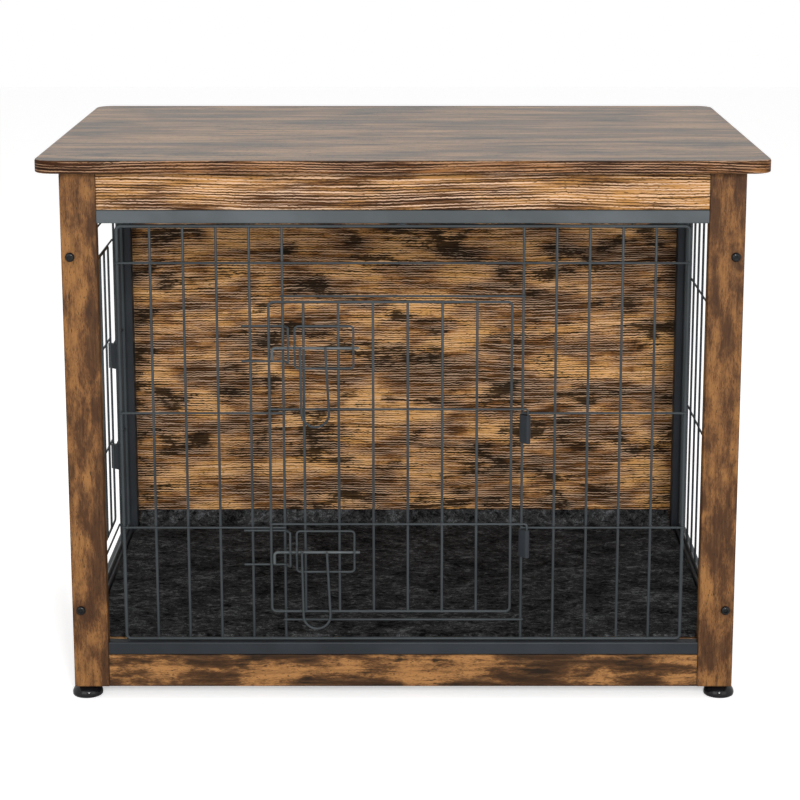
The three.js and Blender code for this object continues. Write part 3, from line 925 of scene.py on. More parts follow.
@dataclass
class WireSizes:
    """Wire radii and layers, as in the frame's own model, in metres."""

    frame: float = 0.0020
    upright: float = 0.0015
    cross: float = 0.00125
    rod: float = 0.0016
    handle: float = 0.0014
    bite: float = 0.00035
    clearance: float = 0.00035
    layer_gap: float = 0.00065
    corner: float = 0.005
    cross_weld: float = 0.0016
    door_weld: float = 0.0018
    edge_weld: float = 0.0023

    @property
    def cross_y(self) -> float:
        """Centre of a panel's cross wires."""
        return -(self.upright + self.cross - self.bite)

    @property
    def door_y(self) -> float:
        """Centre of a door's upright wires."""
        return self.cross_y - self.cross - self.layer_gap - self.upright

    @property
    def door_cross_y(self) -> float:
        """Centre of a door's cross wires, brackets and hinge pins."""
        return self.door_y + self.cross_y

    @property
    def rod_y(self) -> float:
        """Axis of the bolts."""
        return self.door_y - self.upright - self.clearance - self.rod

    @property
    def guard_y(self) -> float:
        """Centre of the wires that pass in front of a bolt."""
        return self.rod_y - self.rod - self.clearance - self.cross

    @property
    def handle_y(self) -> float:
        """Centre of the handles."""
        return self.rod_y - self.rod - self.clearance - self.handle


@dataclass
class Levels:
    """Heights of the wire work, read from the frame."""

    top_gap: float = 0.0042
    bottom_gap: float = 0.0003
    loop_radius: float = 0.002
    doorway_drop: float = 0.0803
    doorway_rise: float = 0.0243
    head_drop: float = 0.042
    cross_parts: tuple[float, float] = (0.645, 0.29)
    door_cross_lift: float = 0.006
    upper_bolt_part: float = 0.847
    lower_bolt_drop: float = 0.0278
    bar_top: float = field(init=False)
    top: float = field(init=False)
    bottom: float = field(init=False)
    doorway_top: float = field(init=False)
    doorway_bottom: float = field(init=False)
    cross: list[float] = field(init=False)
    door_cross: list[float] = field(init=False)
    bolts: list[float] = field(init=False)

    def __post_init__(self) -> None:
        """Works out the heights from the bars above and below the panels."""
        self.bar_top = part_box("front_top_bar")[0][2]
        self.top = self.bar_top - self.top_gap
        self.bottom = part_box("front_bottom_bar")[1][2] + self.bottom_gap + self.loop_radius
        self.doorway_top = self.top - self.doorway_drop
        self.doorway_bottom = self.bottom + self.doorway_rise
        self.cross = [self.in_doorway(part) for part in self.cross_parts]
        self.door_cross = [z + self.door_cross_lift for z in self.cross]
        self.bolts = [self.in_doorway(self.upper_bolt_part), self.cross[1] - self.lower_bolt_drop]

    def in_doorway(self, part: float) -> float:
        """Height at a part of the doorway's height."""
        return self.doorway_bottom + part * (self.doorway_top - self.doorway_bottom)


@dataclass
class WireWall:
    """One wire wall in its own plane: X runs along it and -Y is its outside."""

    side: str
    half: float
    plane: float
    turn: float
    hand: int = 1
    beside: int = 0
    doorway: float = 0.1375
    sizes: WireSizes = field(default_factory=WireSizes)
    levels: Levels = field(default_factory=Levels)
    latch_overlap: float = 0.0158
    hinge_inset: float = 0.013
    pin_offset: float = 0.006
    pin_drop: float = 0.030
    plain_bays: int = 10
    plain_cross_parts: tuple[float, float] = (0.716, 0.362)
    keeper_reach: float = 0.010
    keeper_inset: float = 0.0065
    keeper_above: float = 0.0244
    keeper_below: float = 0.0167
    keeper_bend: float = 0.0018
    tab_width: float = 0.008
    tab_depth: float = 0.0025

    def at(self, x: float, y: float, z: float) -> Vector:
        """Turns a place on the wall into a place in the frame."""
        outward = Vector((x, y - self.plane, z))
        return Matrix.Rotation(self.turn, 3, "Z") @ outward

    def line(self, x: float, y: float, low: float, high: float) -> tuple[Vector, Vector]:
        """Returns the ends of an upright line."""
        return self.at(x, y, low), self.at(x, y, high)

    def level(self, start: float, end: float, y: float, z: float) -> tuple[Vector, Vector]:
        """Returns the ends of a level line."""
        return self.at(start, y, z), self.at(end, y, z)

    def loop(self, work: Wirework, left: float, right: float, low: float, high: float) -> None:
        """Adds the wire round the panel.

        Args:
            work: The wire work to add to.
            left: Where the loop starts along the wall.
            right: Where it ends along the wall.
            low: Height of its lower wire.
            high: Height of its upper wire.
        """
        corners = [(left, low), (left, high), (right, high), (right, low)]
        points = [self.at(x, 0.0, z) for x, z in corners]
        work.bent(points, self.sizes.frame, self.sizes.corner, closed=True)

    def upright_places(self) -> list[float]:
        """Works out where the panel's upright wires stand.

        Returns:
            Their places along the wall.
        """
        if not self.beside:
            bays = self.plain_bays
            return [self.half * (2 * i / bays - 1) for i in range(1, bays)]
        pitch = (self.half - self.doorway) / self.beside
        near = [self.doorway + i * pitch for i in range(self.beside)]
        return [-x for x in reversed(near)] + near

    def cross_wires(self) -> list[tuple[float, float, float]]:
        """Works out the panel's cross wires.

        Returns:
            The start, end and height of each.
        """
        edge = self.half + self.sizes.cross
        if not self.beside:
            height = self.levels.top - self.levels.bottom
            places = [self.levels.bottom + part * height for part in self.plain_cross_parts]
            return [(-edge, edge, z) for z in places]
        wires = [(-edge, edge, self.levels.top - self.levels.head_drop)]
        past = self.doorway + self.sizes.upright + self.sizes.cross
        for z in (self.levels.doorway_top, self.levels.doorway_bottom):
            wires.append((-past, past, z))
        start = self.doorway - self.sizes.upright
        for z in self.levels.cross:
            wires += [(-edge, -start, z), (start, edge, z)]
        return wires

    def keeper(self, work: Wirework, bolt: float) -> None:
        """Adds the wire staple that a bolt slides behind.

        Args:
            work: The wire work to add to.
            bolt: Height of the bolt's axis.
        """
        sizes = self.sizes
        pitch = (self.half - self.doorway) / self.beside
        tail = -self.hand * min(self.doorway + pitch + self.keeper_reach, self.half)
        wire = -self.hand * (self.doorway - sizes.upright)
        bar = -self.hand * (self.doorway - self.keeper_inset)
        high, low = bolt + self.keeper_above, bolt - self.keeper_below
        corners = [
            self.at(tail, sizes.cross_y, high),
            self.at(wire, sizes.cross_y, high),
            self.at(bar, sizes.guard_y, high),
            self.at(bar, sizes.guard_y, low),
            self.at(wire, sizes.cross_y, low),
            self.at(tail, sizes.cross_y, low),
        ]
        work.bent(corners, sizes.cross, self.keeper_bend)

    def panel(self) -> bpy.types.Object:
        """Builds the fixed wire panel.

        Returns:
            The panel.
        """
        sizes, levels = self.sizes, self.levels
        work = Wirework(f"{self.side}_panel")
        self.loop(work, -self.half, self.half, levels.bottom, levels.top)
        uprights = self.upright_places()
        for x in uprights:
            work.rod(*self.line(x, 0.0, levels.bottom, levels.top), sizes.upright)
        weld_y = -sizes.upright
        for start, end, z in self.cross_wires():
            work.rod(*self.level(start, end, sizes.cross_y, z), sizes.cross)
            for x in (-self.half, *uprights, self.half):
                if start <= x <= end:
                    work.weld(self.at(x, weld_y, z), sizes.cross_weld)
        for x in uprights:
            for z in (levels.bottom, levels.top):
                work.weld(self.at(x, 0.0, z), sizes.edge_weld)
        gap = levels.bar_top - levels.top
        tab = self.turned((self.tab_width, self.tab_depth, gap))
        work.plate(self.at(0.0, 0.0, levels.top + gap / 2), tab)
        if self.beside:
            for bolt in levels.bolts:
                self.keeper(work, bolt)
        return work.build()

    def turned(self, size: tuple[float, float, float]) -> tuple[float, float, float]:
        """Swaps a size's width and depth on a side wall."""
        width, depth, height = size
        return (width, depth, height) if abs(math.cos(self.turn)) > 0.5 else (depth, width, height)


@dataclass
class WireDoor:
    """A wire door in a wall, with its brackets, hinge pins and two bolts."""

    wall: WireWall
    bays: int = 7
    top_gap: float = 0.006
    bottom_gap: float = 0.0113
    bracket_start: float = 0.0297
    bracket_width: float = 0.067
    bracket_above: float = 0.0253
    bracket_below: float = 0.024
    bracket_corner: float = 0.0042
    joggle: float = 0.007
    joggle_bend: float = 0.0012
    leg_inset: float = 0.0037
    leg_drop: float = 0.014
    elbow: float = 0.004
    split: float = 0.007
    tail: float = 0.0063
    handle_start: float = 0.006
    handle_top: float = 0.029
    handle_bottom: float = 0.032
    handle_drop: float = 0.092
    handle_rise: float = 0.0015
    handle_roundness: float = 0.49
    joggle_slope: float = 0.0025
    pin_bend: float = 0.003
    hook_gap: float = 0.0003
    bolt_sides: int = 20
    handle_sides: int = 16
    latch_x: float = field(init=False)
    hinge_x: float = field(init=False)
    pin_x: float = field(init=False)
    near_x: float = field(init=False)
    far_x: float = field(init=False)

    def __post_init__(self) -> None:
        """Works out where the door's edges are along the wall."""
        wall = self.wall
        self.latch_x = -wall.hand * (wall.doorway + wall.latch_overlap)
        self.hinge_x = wall.hand * (wall.doorway - wall.hinge_inset)
        self.pin_x = wall.hand * (wall.doorway + wall.pin_offset)
        self.near_x = self.latch_x + wall.hand * self.bracket_start
        self.far_x = self.near_x + wall.hand * self.bracket_width

    def bracket(self, work: Wirework, bolt: float) -> None:
        """Adds the wire loop that a bolt slides through.

        Args:
            work: The wire work to add to.
            bolt: Height of the bolt's axis.
        """
        wall, sizes = self.wall, self.wall.sizes
        high, low = bolt + self.bracket_above, bolt - self.bracket_below
        flat, guard = sizes.door_cross_y, sizes.guard_y
        inner = self.joggle - self.joggle_slope
        side = [
            (flat, high),
            (flat, bolt + self.joggle),
            (guard, bolt + inner),
            (guard, bolt - inner),
            (flat, bolt - self.joggle),
            (flat, low),
        ]
        corners = [wall.at(self.near_x, y, z) for y, z in side]
        corners += [wall.at(self.far_x, y, z) for y, z in reversed(side)]
        bends = [self.bracket_corner, *[self.joggle_bend] * 4, self.bracket_corner] * 2
        work.bent(corners, sizes.cross, bends, closed=True)

    def grille(self) -> bpy.types.Object:
        """Builds the door's wire grille.

        Returns:
            The grille.
        """
        wall, sizes, levels = self.wall, self.wall.sizes, self.wall.levels
        work = Wirework(f"{wall.side}_door")
        top = levels.doorway_top - self.top_gap
        bottom = levels.doorway_bottom + self.bottom_gap
        latch, hinge = self.latch_x, self.hinge_x
        outline = [(latch, bottom), (latch, top), (hinge, top), (hinge, bottom)]
        corners = [wall.at(x, sizes.door_y, z) for x, z in outline]
        work.bent(corners, sizes.upright, sizes.corner, closed=True)
        pitch = (self.hinge_x - self.latch_x) / self.bays
        places = [self.latch_x + i * pitch for i in range(self.bays + 1)]
        for x in places[1:-1]:
            work.rod(*wall.line(x, sizes.door_y, bottom, top), sizes.upright)
            for z in (bottom, top):
                work.weld(wall.at(x, sizes.door_y, z), sizes.door_weld)
        for z in levels.door_cross:
            ends = [(self.latch_x, z), (self.pin_x, z), (self.pin_x, z - wall.pin_drop)]
            corners = [wall.at(x, sizes.door_cross_y, height) for x, height in ends]
            work.bent(corners, sizes.cross, self.pin_bend)
            for x in places:
                work.weld(wall.at(x, sizes.door_y - sizes.upright, z), sizes.cross_weld)
        for bolt in levels.bolts:
            self.bracket(work, bolt)
        return work.build()

    def rod(self, name: str, bolt: float) -> bpy.types.Object:
        """Builds a bolt's straight rod.

        Args:
            name: The piece's name.
            bolt: Height of the bolt's axis.

        Returns:
            The rod.
        """
        wall, sizes = self.wall, self.wall.sizes
        work = Wirework(name, sides=self.bolt_sides)
        start = self.latch_x + wall.hand * (self.leg_inset + self.split + self.hook_gap)
        end = self.far_x + wall.hand * self.tail
        work.rod(*wall.level(start, end, sizes.rod_y, bolt), sizes.rod)
        return work.build()

    def hook(self, name: str, bolt: float) -> bpy.types.Object:
        """Builds a bolt's hooked end.

        Args:
            name: The piece's name.
            bolt: Height of the bolt's axis.

        Returns:
            The hooked end.
        """
        wall, sizes = self.wall, self.wall.sizes
        work = Wirework(name, sides=self.bolt_sides)
        leg = self.latch_x + wall.hand * self.leg_inset
        ends = [(leg + wall.hand * self.split, bolt), (leg, bolt), (leg, bolt - self.leg_drop)]
        work.bent([wall.at(x, sizes.rod_y, z) for x, z in ends], sizes.rod, self.elbow)
        return work.build()

    def handle(self, name: str, bolt: float) -> bpy.types.Object:
        """Builds a bolt's hanging handle.

        Args:
            name: The piece's name.
            bolt: Height of the bolt's axis.

        Returns:
            The handle.
        """
        wall, sizes = self.wall, self.wall.sizes
        work = Wirework(name, sides=self.handle_sides)
        first = self.near_x + wall.hand * self.handle_start
        widen = (self.handle_bottom - self.handle_top) / 2 * wall.hand
        low = bolt - self.handle_drop
        ends = [
            (first, bolt + self.handle_rise),
            (first + widen, low),
            (first + widen + wall.hand * self.handle_bottom, low),
            (first + wall.hand * self.handle_top, bolt + self.handle_rise),
        ]
        corners = [wall.at(x, sizes.handle_y, z) for x, z in ends]
        work.bent(corners, sizes.handle, self.handle_bottom * self.handle_roundness)
        return work.build()


@dataclass
class WireFront:
    """A wire wall with all that hangs on it, dressed and riding on its bodies."""

    wall: WireWall
    coat: bpy.types.Material
    bright: bpy.types.Material

    def fit(self, piece: bpy.types.Object, body: str, node: str, coat: bpy.types.Material) -> None:
        """Dresses a piece, and puts it on a body in place of a node.

        Args:
            piece: The piece.
            body: The body it rides on.
            node: The node it replaces.
            coat: Its coat.
        """
        Bench.dress(piece, coat)
        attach(piece, body)
        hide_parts(node)
        log.info("%s rides on %s", piece.name, body)

    def build(self) -> None:
        """Builds the panel and, where there is a doorway, the door and its bolts."""
        side = self.wall.side
        self.fit(self.wall.panel(), "crate", f"{side}_wire_panel", self.coat)
        if not self.wall.beside:
            return
        door = WireDoor(self.wall)
        self.fit(door.grille(), f"{side}_door", f"{side}_door_grille", self.coat)
        for label, bolt in zip(("upper", "lower"), self.wall.levels.bolts):
            stem = f"{side}_bolt_{label}"
            rod = door.rod(f"{side}_{label}_rod", bolt)
            self.fit(rod, f"{side}_{label}_bolt", f"{stem}_rod", self.bright)
            hook = door.hook(f"{side}_{label}_hook", bolt)
            self.fit(hook, f"{side}_{label}_handle", f"{stem}_hook", self.bright)
            handle = door.handle(f"{side}_{label}_pull", bolt)
            self.fit(handle, f"{side}_{label}_handle", f"{stem}_handle", self.coat)


# ---------------------------------------------------------------- small hardware

# Each profile gives rings as parts of the full radius and of the full height.
HEAD_PROFILE = (
    (0.96, 0.0),
    (1.0, 0.12),
    (1.0, 0.35),
    (0.95, 0.58),
    (0.84, 0.80),
    (0.66, 0.95),
    (0.52, 1.0),
)
DOME_PROFILE = (
    (0.93, 0.0),
    (0.97, 0.03),
    (0.995, 0.09),
    (1.0, 0.18),
    (0.995, 0.27),
    (0.975, 0.37),
    (0.93, 0.48),
    (0.86, 0.59),
    (0.76, 0.69),
    (0.64, 0.78),
    (0.52, 0.84),
    (0.45, 0.89),
    (0.43, 0.99),
    (0.41, 1.0),
)


@dataclass
class ButtonScrew:
    """A black button-head screw with a hexagon socket."""

    head: float = 0.0054
    height: float = 0.0034
    shank: float = 0.0029
    length: float = 0.022
    socket: float = 0.0026
    point: float = 0.8
    point_length: float = 0.0008

    def model(self) -> bpy.types.Object:
        """Builds one screw whose head stands on the XY plane and points up.

        Returns:
            The screw.
        """
        rings = [
            (self.shank * self.point, -self.length),
            (self.shank, -self.length + self.point_length),
            (self.shank, 0.0),
        ]
        rings += [(self.head * wide, self.height * tall) for wide, tall in HEAD_PROFILE]
        screw = Turning("screw", rings, 40).build()
        Bench.clear()
        bpy.ops.mesh.primitive_cylinder_add(
            vertices=6, radius=self.socket, depth=self.height, location=(0, 0, self.height * 0.95)
        )
        key = bpy.context.object
        Bench.settle(key)
        Bench.apply(screw, "BOOLEAN", operation="DIFFERENCE", object=key, solver="EXACT")
        bpy.data.objects.remove(key)
        Bench.smooth(screw, 35.0)
        return screw

    def build(self, finish: bpy.types.Material) -> None:
        """Puts a screw in place of each screw of the frame.

        Args:
            finish: The screws' finish.
        """
        model = self.model()
        for end, sense in (("front", 1.0), ("rear", -1.0)):
            for side in ("left", "right"):
                for label in ("upper", "lower"):
                    node = f"screw_{end}_{side}_{label}"
                    low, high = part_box(node)
                    outer = (low if end == "front" else high)[1] + sense * self.height
                    screw = Bench.copy(model, f"{end}_{side}_{label}_screw")
                    screw.rotation_euler = (sense * math.pi / 2, 0.0, 0.0)
                    screw.location = ((low[0] + high[0]) / 2, outer, (low[2] + high[2]) / 2)
                    Bench.settle(screw)
                    Bench.dress(screw, finish)
                    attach(screw, "crate")
                    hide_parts(node)
        bpy.data.objects.remove(model)
        log.info("eight screws placed")


@dataclass
class LevellingFoot:
    """A glossy domed foot on a threaded stud."""

    stud: float = 0.003
    pitch: float = 0.001
    root: float = 0.86
    point: float = 0.8
    top_gap: float = 0.0006

    def rings(self, radius: float, top: float, stud_top: float) -> list[tuple[float, float]]:
        """Lists the foot's rings from the floor up.

        Args:
            radius: The foot's radius.
            top: Height of the moulded part.
            stud_top: Height of the stud's end.

        Returns:
            Radius and height of each ring.
        """
        dome = [(radius * wide, top * tall) for wide, tall in DOME_PROFILE]
        dome.append((self.stud, top))
        turns = int((stud_top - self.pitch - top) / self.pitch)
        for i in range(turns):
            foot = top + (i + 0.25) * self.pitch
            dome += [(self.stud, foot), (self.stud * self.root, foot + self.pitch * 0.5)]
        return [*dome, (self.stud * self.point, stud_top)]

    def build(self, finish: bpy.types.Material) -> None:
        """Puts a foot in place of each foot of the frame.

        Args:
            finish: The feet's finish.
        """
        low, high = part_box("foot_front_left")
        radius = (high[0] - low[0]) / 2
        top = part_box("front_upright_left")[0][2] - self.top_gap
        model = Turning("foot", self.rings(radius, top, high[2]), 64).build()
        Bench.smooth(model, 32.0)
        for end in ("front", "rear"):
            for side in ("left", "right"):
                node = f"foot_{end}_{side}"
                low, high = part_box(node)
                foot = Bench.copy(model, f"{end}_{side}_levelling_foot")
                foot.location = ((low[0] + high[0]) / 2, (low[1] + high[1]) / 2, 0.0)
                Bench.settle(foot)
                Bench.dress(foot, finish)
                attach(foot, f"{end}_{side}_foot")
                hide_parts(node)
        bpy.data.objects.remove(model)
        log.info("four feet placed")


# ---------------------------------------------------------------- mat


@dataclass
class FeltMat:
    """The felt mat on the floor board, its rear edge turned up against the back board."""

    thickness: float = 0.005
    lip_radius: float = 0.016
    columns: int = 200
    rows: int = 150
    tuck_from: float = 0.024
    tuck_to: float = 0.008
    post_gap: float = 0.002
    corner: float = 0.009
    corner_draw: float = 0.007
    nap: float = 0.0009
    play: float = 0.0004
    tufts_per_metre: float = 55.0
    hairs_per_metre: float = 190.0
    tuft_share: float = 0.9
    hair_share: float = 0.8

    def half_width(self, run: float, straight: float, wide: float, narrow: float) -> float:
        """Half the mat's width at a distance from its front edge.

        Args:
            run: Distance from the front edge.
            straight: Length of the flat part.
            wide: Half width of most of the mat.
            narrow: Half width between the rear uprights.

        Returns:
            The half width.
        """
        start, end = straight - self.tuck_from, straight - self.tuck_to
        part = min(1.0, max(0.0, (run - start) / (end - start)))
        tuck = part * part * (3 - 2 * part)
        corner = max(0.0, 1 - run / self.corner) ** 2
        return wide + (narrow - wide) * tuck - self.corner_draw * corner

    def build(self, finish: bpy.types.Material) -> None:
        """Builds the mat inside the space that its node holds.

        Args:
            finish: The mat's finish.
        """
        low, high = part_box("felt_mat")
        wide = high[0] - self.play
        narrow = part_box("rear_upright_right")[0][0] - self.post_gap
        front = low[1] + self.play
        base = low[2] + self.thickness / 2
        rear = high[1] - self.thickness / 2 - self.play
        straight = rear - self.lip_radius - front
        arc = self.lip_radius * math.pi / 2
        lip = high[2] - base - self.lip_radius
        total = straight + arc + lip
        Bench.clear()
        bpy.ops.mesh.primitive_grid_add(
            x_subdivisions=self.columns, y_subdivisions=self.rows, size=2.0, location=(0, 0, 0)
        )
        mat = bpy.context.object
        mat.name = "mat"
        for vertex in mat.data.vertices:
            run = (vertex.co.y + 1) / 2 * total
            angle = min(math.pi / 2, max(0.0, (run - straight) / self.lip_radius))
            x = vertex.co.x * self.half_width(run, straight, wide, narrow)
            y = front + min(run, straight) + self.lip_radius * math.sin(angle)
            z = self.lip_radius * (1 - math.cos(angle)) + max(0.0, run - straight - arc)
            vertex.co = (x, y, base + z)
        Bench.apply(mat, "SOLIDIFY", thickness=self.thickness - 2 * self.nap, offset=0.0)
        Bench.face_outward(mat)
        self.fluff(mat)
        Bench.smooth(mat, 80.0)
        Bench.dress(mat, finish)
        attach(mat, "crate")
        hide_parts("felt_mat")
        log.info("mat with %d faces", len(mat.data.polygons))

    def fluff(self, mat: bpy.types.Object) -> None:
        """Raises and sinks the surface as matted fibres do.

        Args:
            mat: The mat.
        """
        normals = [vertex.normal.copy() for vertex in mat.data.vertices]
        for vertex, normal in zip(mat.data.vertices, normals):
            tufts = self.tuft_share * noise.noise(vertex.co * self.tufts_per_metre)
            hairs = self.hair_share * noise.noise(vertex.co * self.hairs_per_metre)
            vertex.co += normal * self.nap * max(-1.0, min(1.0, tufts + hairs))


# ---------------------------------------------------------------- boards and steel tubes


@dataclass
class Boards:
    """The finishes of the frame's own boards and tubes."""

    # Painted highlight: the front top bar is the same steel as the other tubes, and this lighter
    # colour paints on the sheen it catches.
    lit_bar_colour: Colour = (0.056, 0.065, 0.070)
    side_shift: float = 1.7
    knots: tuple[tuple[float, float, float, float], ...] = (
        (0.210, 0.036, 0.020, 0.014),
        (-0.118, 0.030, 0.013, 0.009),
    )

    def wood(self) -> dict[str, RusticWood]:
        """Lists the wood finish of each board.

        Returns:
            The finish for each node.
        """
        calm = {
            "evenness": 0.0,
            "furrow": 0.28,
            "ridge": 0.08,
            "pores": 0.75,
            "relief": 0.0001,
        }
        stile = {
            "brown": (0.052, 0.021, 0.007),
            "tan": (0.135, 0.058, 0.019),
            "gold": (0.225, 0.102, 0.031),
            "pale": (0.34, 0.190, 0.085),
            "lines_per_metre": 330.0,
            "line_length": 0.030,
            "patch": (0.57, 0.68),
            "patch_size": (0.040, 0.020),
            "specular": 0.15,
        }
        rail = {
            "brown": (0.070, 0.028, 0.009),
            "tan": (0.20, 0.095, 0.032),
            "gold": (0.36, 0.178, 0.055),
            "pale": (0.66, 0.450, 0.310),
            "lines_per_metre": 700.0,
            "line_length": 0.080,
            "jag": 0.0014,
            "ridge": 0.72,
            "patch": (0.57, 0.66),
            "patch_size": (0.07, 0.016),
        }
        base = {
            "brown": (0.036, 0.016, 0.006),
            "tan": (0.090, 0.040, 0.014),
            "gold": (0.30, 0.142, 0.048),
            "pale": (0.45, 0.250, 0.110),
            "specular": 0.12,
            "lines_per_metre": 300.0,
            "streaks_per_metre": 40.0,
            "patch": (0.52, 0.62),
            "patch_size": (0.050, 0.024),
        }
        top = {
            "dark": (0.012, 0.011, 0.008),
            "brown": (0.016, 0.010, 0.006),
            "tan": (0.116, 0.058, 0.024),
            "gold": (0.27, 0.156, 0.076),
            "pale": (0.50, 0.335, 0.220),
            "lines_per_metre": 560.0,
            "line_length": 0.11,
            "streaks_per_metre": 44.0,
            "ridge": 0.6,
            "patch": (0.50, 0.585),
            "patch_size": (0.17, 0.050),
            "specular": 0.45,
            "roughness": 0.46,
            "relief": 0.00006,
        }
        strip = {
            **rail,
            "brown": (0.034, 0.012, 0.004),
            "tan": (0.105, 0.043, 0.014),
            "gold": (0.19, 0.083, 0.027),
            "pale": (0.40, 0.240, 0.145),
        }
        banding = RusticWood("top_banding", Grain.ALONG_X_FLAT, **strip)
        place = (1.3, 0.2, 0.7)
        finishes = {
            "top_board": RusticWood(
                "wood_top", Grain.ALONG_X_FLAT, place, banding=banding, **top
            ),
            "back_board": RusticWood("wood_back", Grain.ALONG_X, (0.0, 0.37, 0.2)),
            "front_top_rail": RusticWood("wood_top_rail", Grain.ALONG_X, (2.1, 0.1, 0.4), **rail),
            "front_bottom_rail": RusticWood(
                "wood_bottom_rail",
                Grain.ALONG_X,
                (3.3, 0.8, 0.1),
                knots=self.knots,
                **{**calm, **base},
            ),
            "floor_board": RusticWood("wood_floor", Grain.ALONG_X_FLAT, (4.0, 0.3, 0.9)),
        }
        for k, side in enumerate(("left", "right")):
            shift = self.side_shift * k
            finishes[f"front_stile_{side}"] = RusticWood(
                f"wood_stile_{side}", Grain.ALONG_Z, (shift, 0.5, 0.3), **{**calm, **stile}
            )
            finishes[f"{side}_top_rail"] = RusticWood(
                f"wood_{side}_top_rail", Grain.ALONG_Y, (shift, 0.9, 0.6), **rail
            )
            finishes[f"{side}_bottom_rail"] = RusticWood(
                f"wood_{side}_bottom_rail", Grain.ALONG_Y, (shift, 1.4, 0.2), **{**calm, **base}
            )
        return finishes

    def build(self, nodes: dict[str, bpy.types.Object], coat: bpy.types.Material) -> None:
        """Dresses the boards and the tubes.

        Args:
            nodes: The frame's nodes.
            coat: The steel's coat.
        """
        finishes = self.wood()
        for name, finish in finishes.items():
            Bench.dress(nodes[name], finish.material(*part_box(name)))
        for name, node in nodes.items():
            tube = name.endswith("_bar") or "_upright_" in name or "bearer" in name
            if tube or "hinge_clip" in name:
                Bench.dress(node, coat)
        # A lighter, painted-lit copy of the tube coat for the front top bar: the extra brightness
        # stands in for light, not for a different steel.
        bright = PowderCoat("coat_top_bar_painted_lit", colour=self.lit_bar_colour)
        Bench.dress(nodes["front_top_bar"], bright.material())
        log.info("%d boards dressed", len(finishes))


# ---------------------------------------------------------------- studio


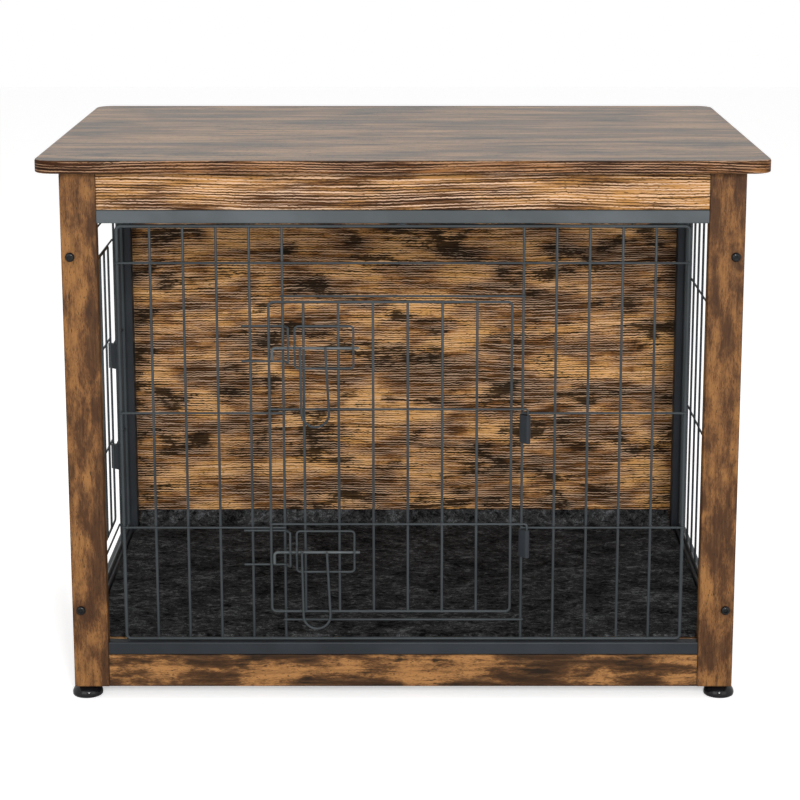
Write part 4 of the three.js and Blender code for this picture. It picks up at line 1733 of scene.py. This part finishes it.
@dataclass
class Studio:
    """A white floor, soft lamps and the camera."""

    picture: int = 800
    focal_pixels: float = 2328.0
    centre_pixels: tuple[float, float] = (411.3, 360.0)
    eye: tuple[float, float, float] = (0.0095, -2.8584, 0.9790)
    pitch_down: float = 12.355
    sensor: float = 36.0
    floor_size: float = 14.0
    floor_drop: float = 0.0005
    floor_white: float = 0.92
    floor_roughness: float = 0.9
    floor_glow: float = 0.47
    world_light: float = 0.5
    aim: tuple[float, float, float] = (0.0, 0.0, 0.32)

    def camera(self) -> None:
        """Sets up the camera as the photograph was taken."""
        data = bpy.data.cameras.new("camera")
        data.sensor_width = self.sensor
        data.lens = self.focal_pixels * self.sensor / self.picture
        half = self.picture / 2
        data.shift_x = (half - self.centre_pixels[0]) / self.picture
        data.shift_y = (self.centre_pixels[1] - half) / self.picture
        camera = bpy.data.objects.new("camera", data)
        camera.location = self.eye
        camera.rotation_euler = (math.radians(90.0 - self.pitch_down), 0.0, 0.0)
        bpy.context.collection.objects.link(camera)
        bpy.context.scene.camera = camera

    def lamp(self, name: str, place: Vector, aim: Vector, size: float, power: float) -> None:
        """Adds a square soft lamp.

        Args:
            name: The lamp's name.
            place: Where it hangs.
            aim: What it points at.
            size: Its width, in metres.
            power: Its power, in watts.
        """
        data = bpy.data.lights.new(name, "AREA")
        data.size = size
        data.energy = power
        lamp = bpy.data.objects.new(name, data)
        lamp.location = place
        lamp.rotation_euler = (aim - place).to_track_quat("-Z", "Y").to_euler()
        bpy.context.collection.objects.link(lamp)

    def world(self) -> None:
        """Makes the surroundings white to the eye and dimmer as a light."""
        world = bpy.data.worlds.new("world")
        bpy.context.scene.world = world
        world.use_nodes = True
        tree = world.node_tree
        tree.nodes.clear()
        path = tree.nodes.new("ShaderNodeLightPath")
        seen = path.outputs["Is Camera Ray"]
        for ray in ("Is Glossy Ray", "Is Transmission Ray"):
            either = tree.nodes.new("ShaderNodeMath")
            either.operation = "MAXIMUM"
            tree.links.new(seen, either.inputs[0])
            tree.links.new(path.outputs[ray], either.inputs[1])
            seen = either.outputs[0]
        strength = tree.nodes.new("ShaderNodeMapRange")
        strength.inputs["To Min"].default_value = self.world_light
        strength.inputs["To Max"].default_value = 1.0
        tree.links.new(seen, strength.inputs["Value"])
        background = tree.nodes.new("ShaderNodeBackground")
        background.inputs["Color"].default_value = (1.0, 1.0, 1.0, 1.0)
        tree.links.new(strength.outputs["Result"], background.inputs["Strength"])
        output = tree.nodes.new("ShaderNodeOutputWorld")
        tree.links.new(background.outputs[0], output.inputs["Surface"])

    def floor(self) -> None:
        """Lays a white floor that is pure white to the eye and keeps the shadow."""
        Bench.clear()
        bpy.ops.mesh.primitive_plane_add(size=self.floor_size, location=(0, 0, -self.floor_drop))
        floor = bpy.context.object
        floor.name = "floor"
        recipe = Recipe("floor_white")
        path = recipe.node("ShaderNodeLightPath")
        recipe.feed(recipe.shader.inputs["Base Color"], (*(self.floor_white,) * 3, 1.0))
        recipe.shader.inputs["Roughness"].default_value = self.floor_roughness
        recipe.shader.inputs["Emission Color"].default_value = (1.0, 1.0, 1.0, 1.0)
        glow = recipe.number("MULTIPLY", path.outputs["Is Camera Ray"], self.floor_glow)
        recipe.link(glow, recipe.shader.inputs["Emission Strength"])
        Bench.dress(floor, recipe.material)

    def build(self) -> None:
        """Sets up the whole studio."""
        bpy.context.scene.view_settings.view_transform = "Standard"
        self.camera()
        self.world()
        self.floor()
        aim = Vector(self.aim)
        self.lamp("key", Vector((0.35, -3.1, 1.42)), aim, 0.45, 61.0)
        self.lamp("left", Vector((-1.5, -2.9, 1.3)), aim, 2.0, 25.0)
        self.lamp("right", Vector((1.9, -2.4, 0.9)), aim, 1.8, 11.0)
        self.lamp("overhead", Vector((0.0, 0.2, 2.8)), aim, 2.4, 22.0)
        log.info("studio ready")


# ---------------------------------------------------------------- making


def wire_walls() -> list[WireWall]:
    """Places the wire walls inside the frame.

    Returns:
        The front, left and right wall.
    """
    inset = 0.0084
    front_gap = 0.021
    side_gap = 0.003
    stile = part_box("front_stile_right")
    face = -stile[0][1]
    outer = stile[1][0]
    half = -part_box("front_upright_right")[1][1] - side_gap
    return [
        WireWall("front", stile[0][0] - front_gap, face - inset, 0.0, 1, 5),
        WireWall("left", half, outer - inset, -math.pi / 2, -1, 2),
        WireWall("right", half, outer - inset, math.pi / 2),
    ]


def main() -> None:
    """Loads the frame and builds the looks round it."""
    logging.basicConfig(level=logging.INFO, format="%(message)s")
    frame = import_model()
    Studio().build()

    coat = PowderCoat("coat_wire").material()
    bright = PowderCoat("coat_bolt", colour=(0.062, 0.071, 0.075), roughness=0.30).material()
    tube = PowderCoat("coat_tube", colour=(0.020, 0.023, 0.027), specular=0.12).material()
    Boards().build(frame["nodes"], tube)
    for wall in wire_walls():
        WireFront(wall, coat, bright).build()

    ButtonScrew().build(Moulding("black_oxide", (0.003, 0.003, 0.0035), 0.24, 0.22).material())
    LevellingFoot().build(Moulding("black_gloss", roughness=0.12, specular=0.25).material())
    FeltMat().build(Felt("charcoal_felt").material())


if __name__ == "__main__":
    main()
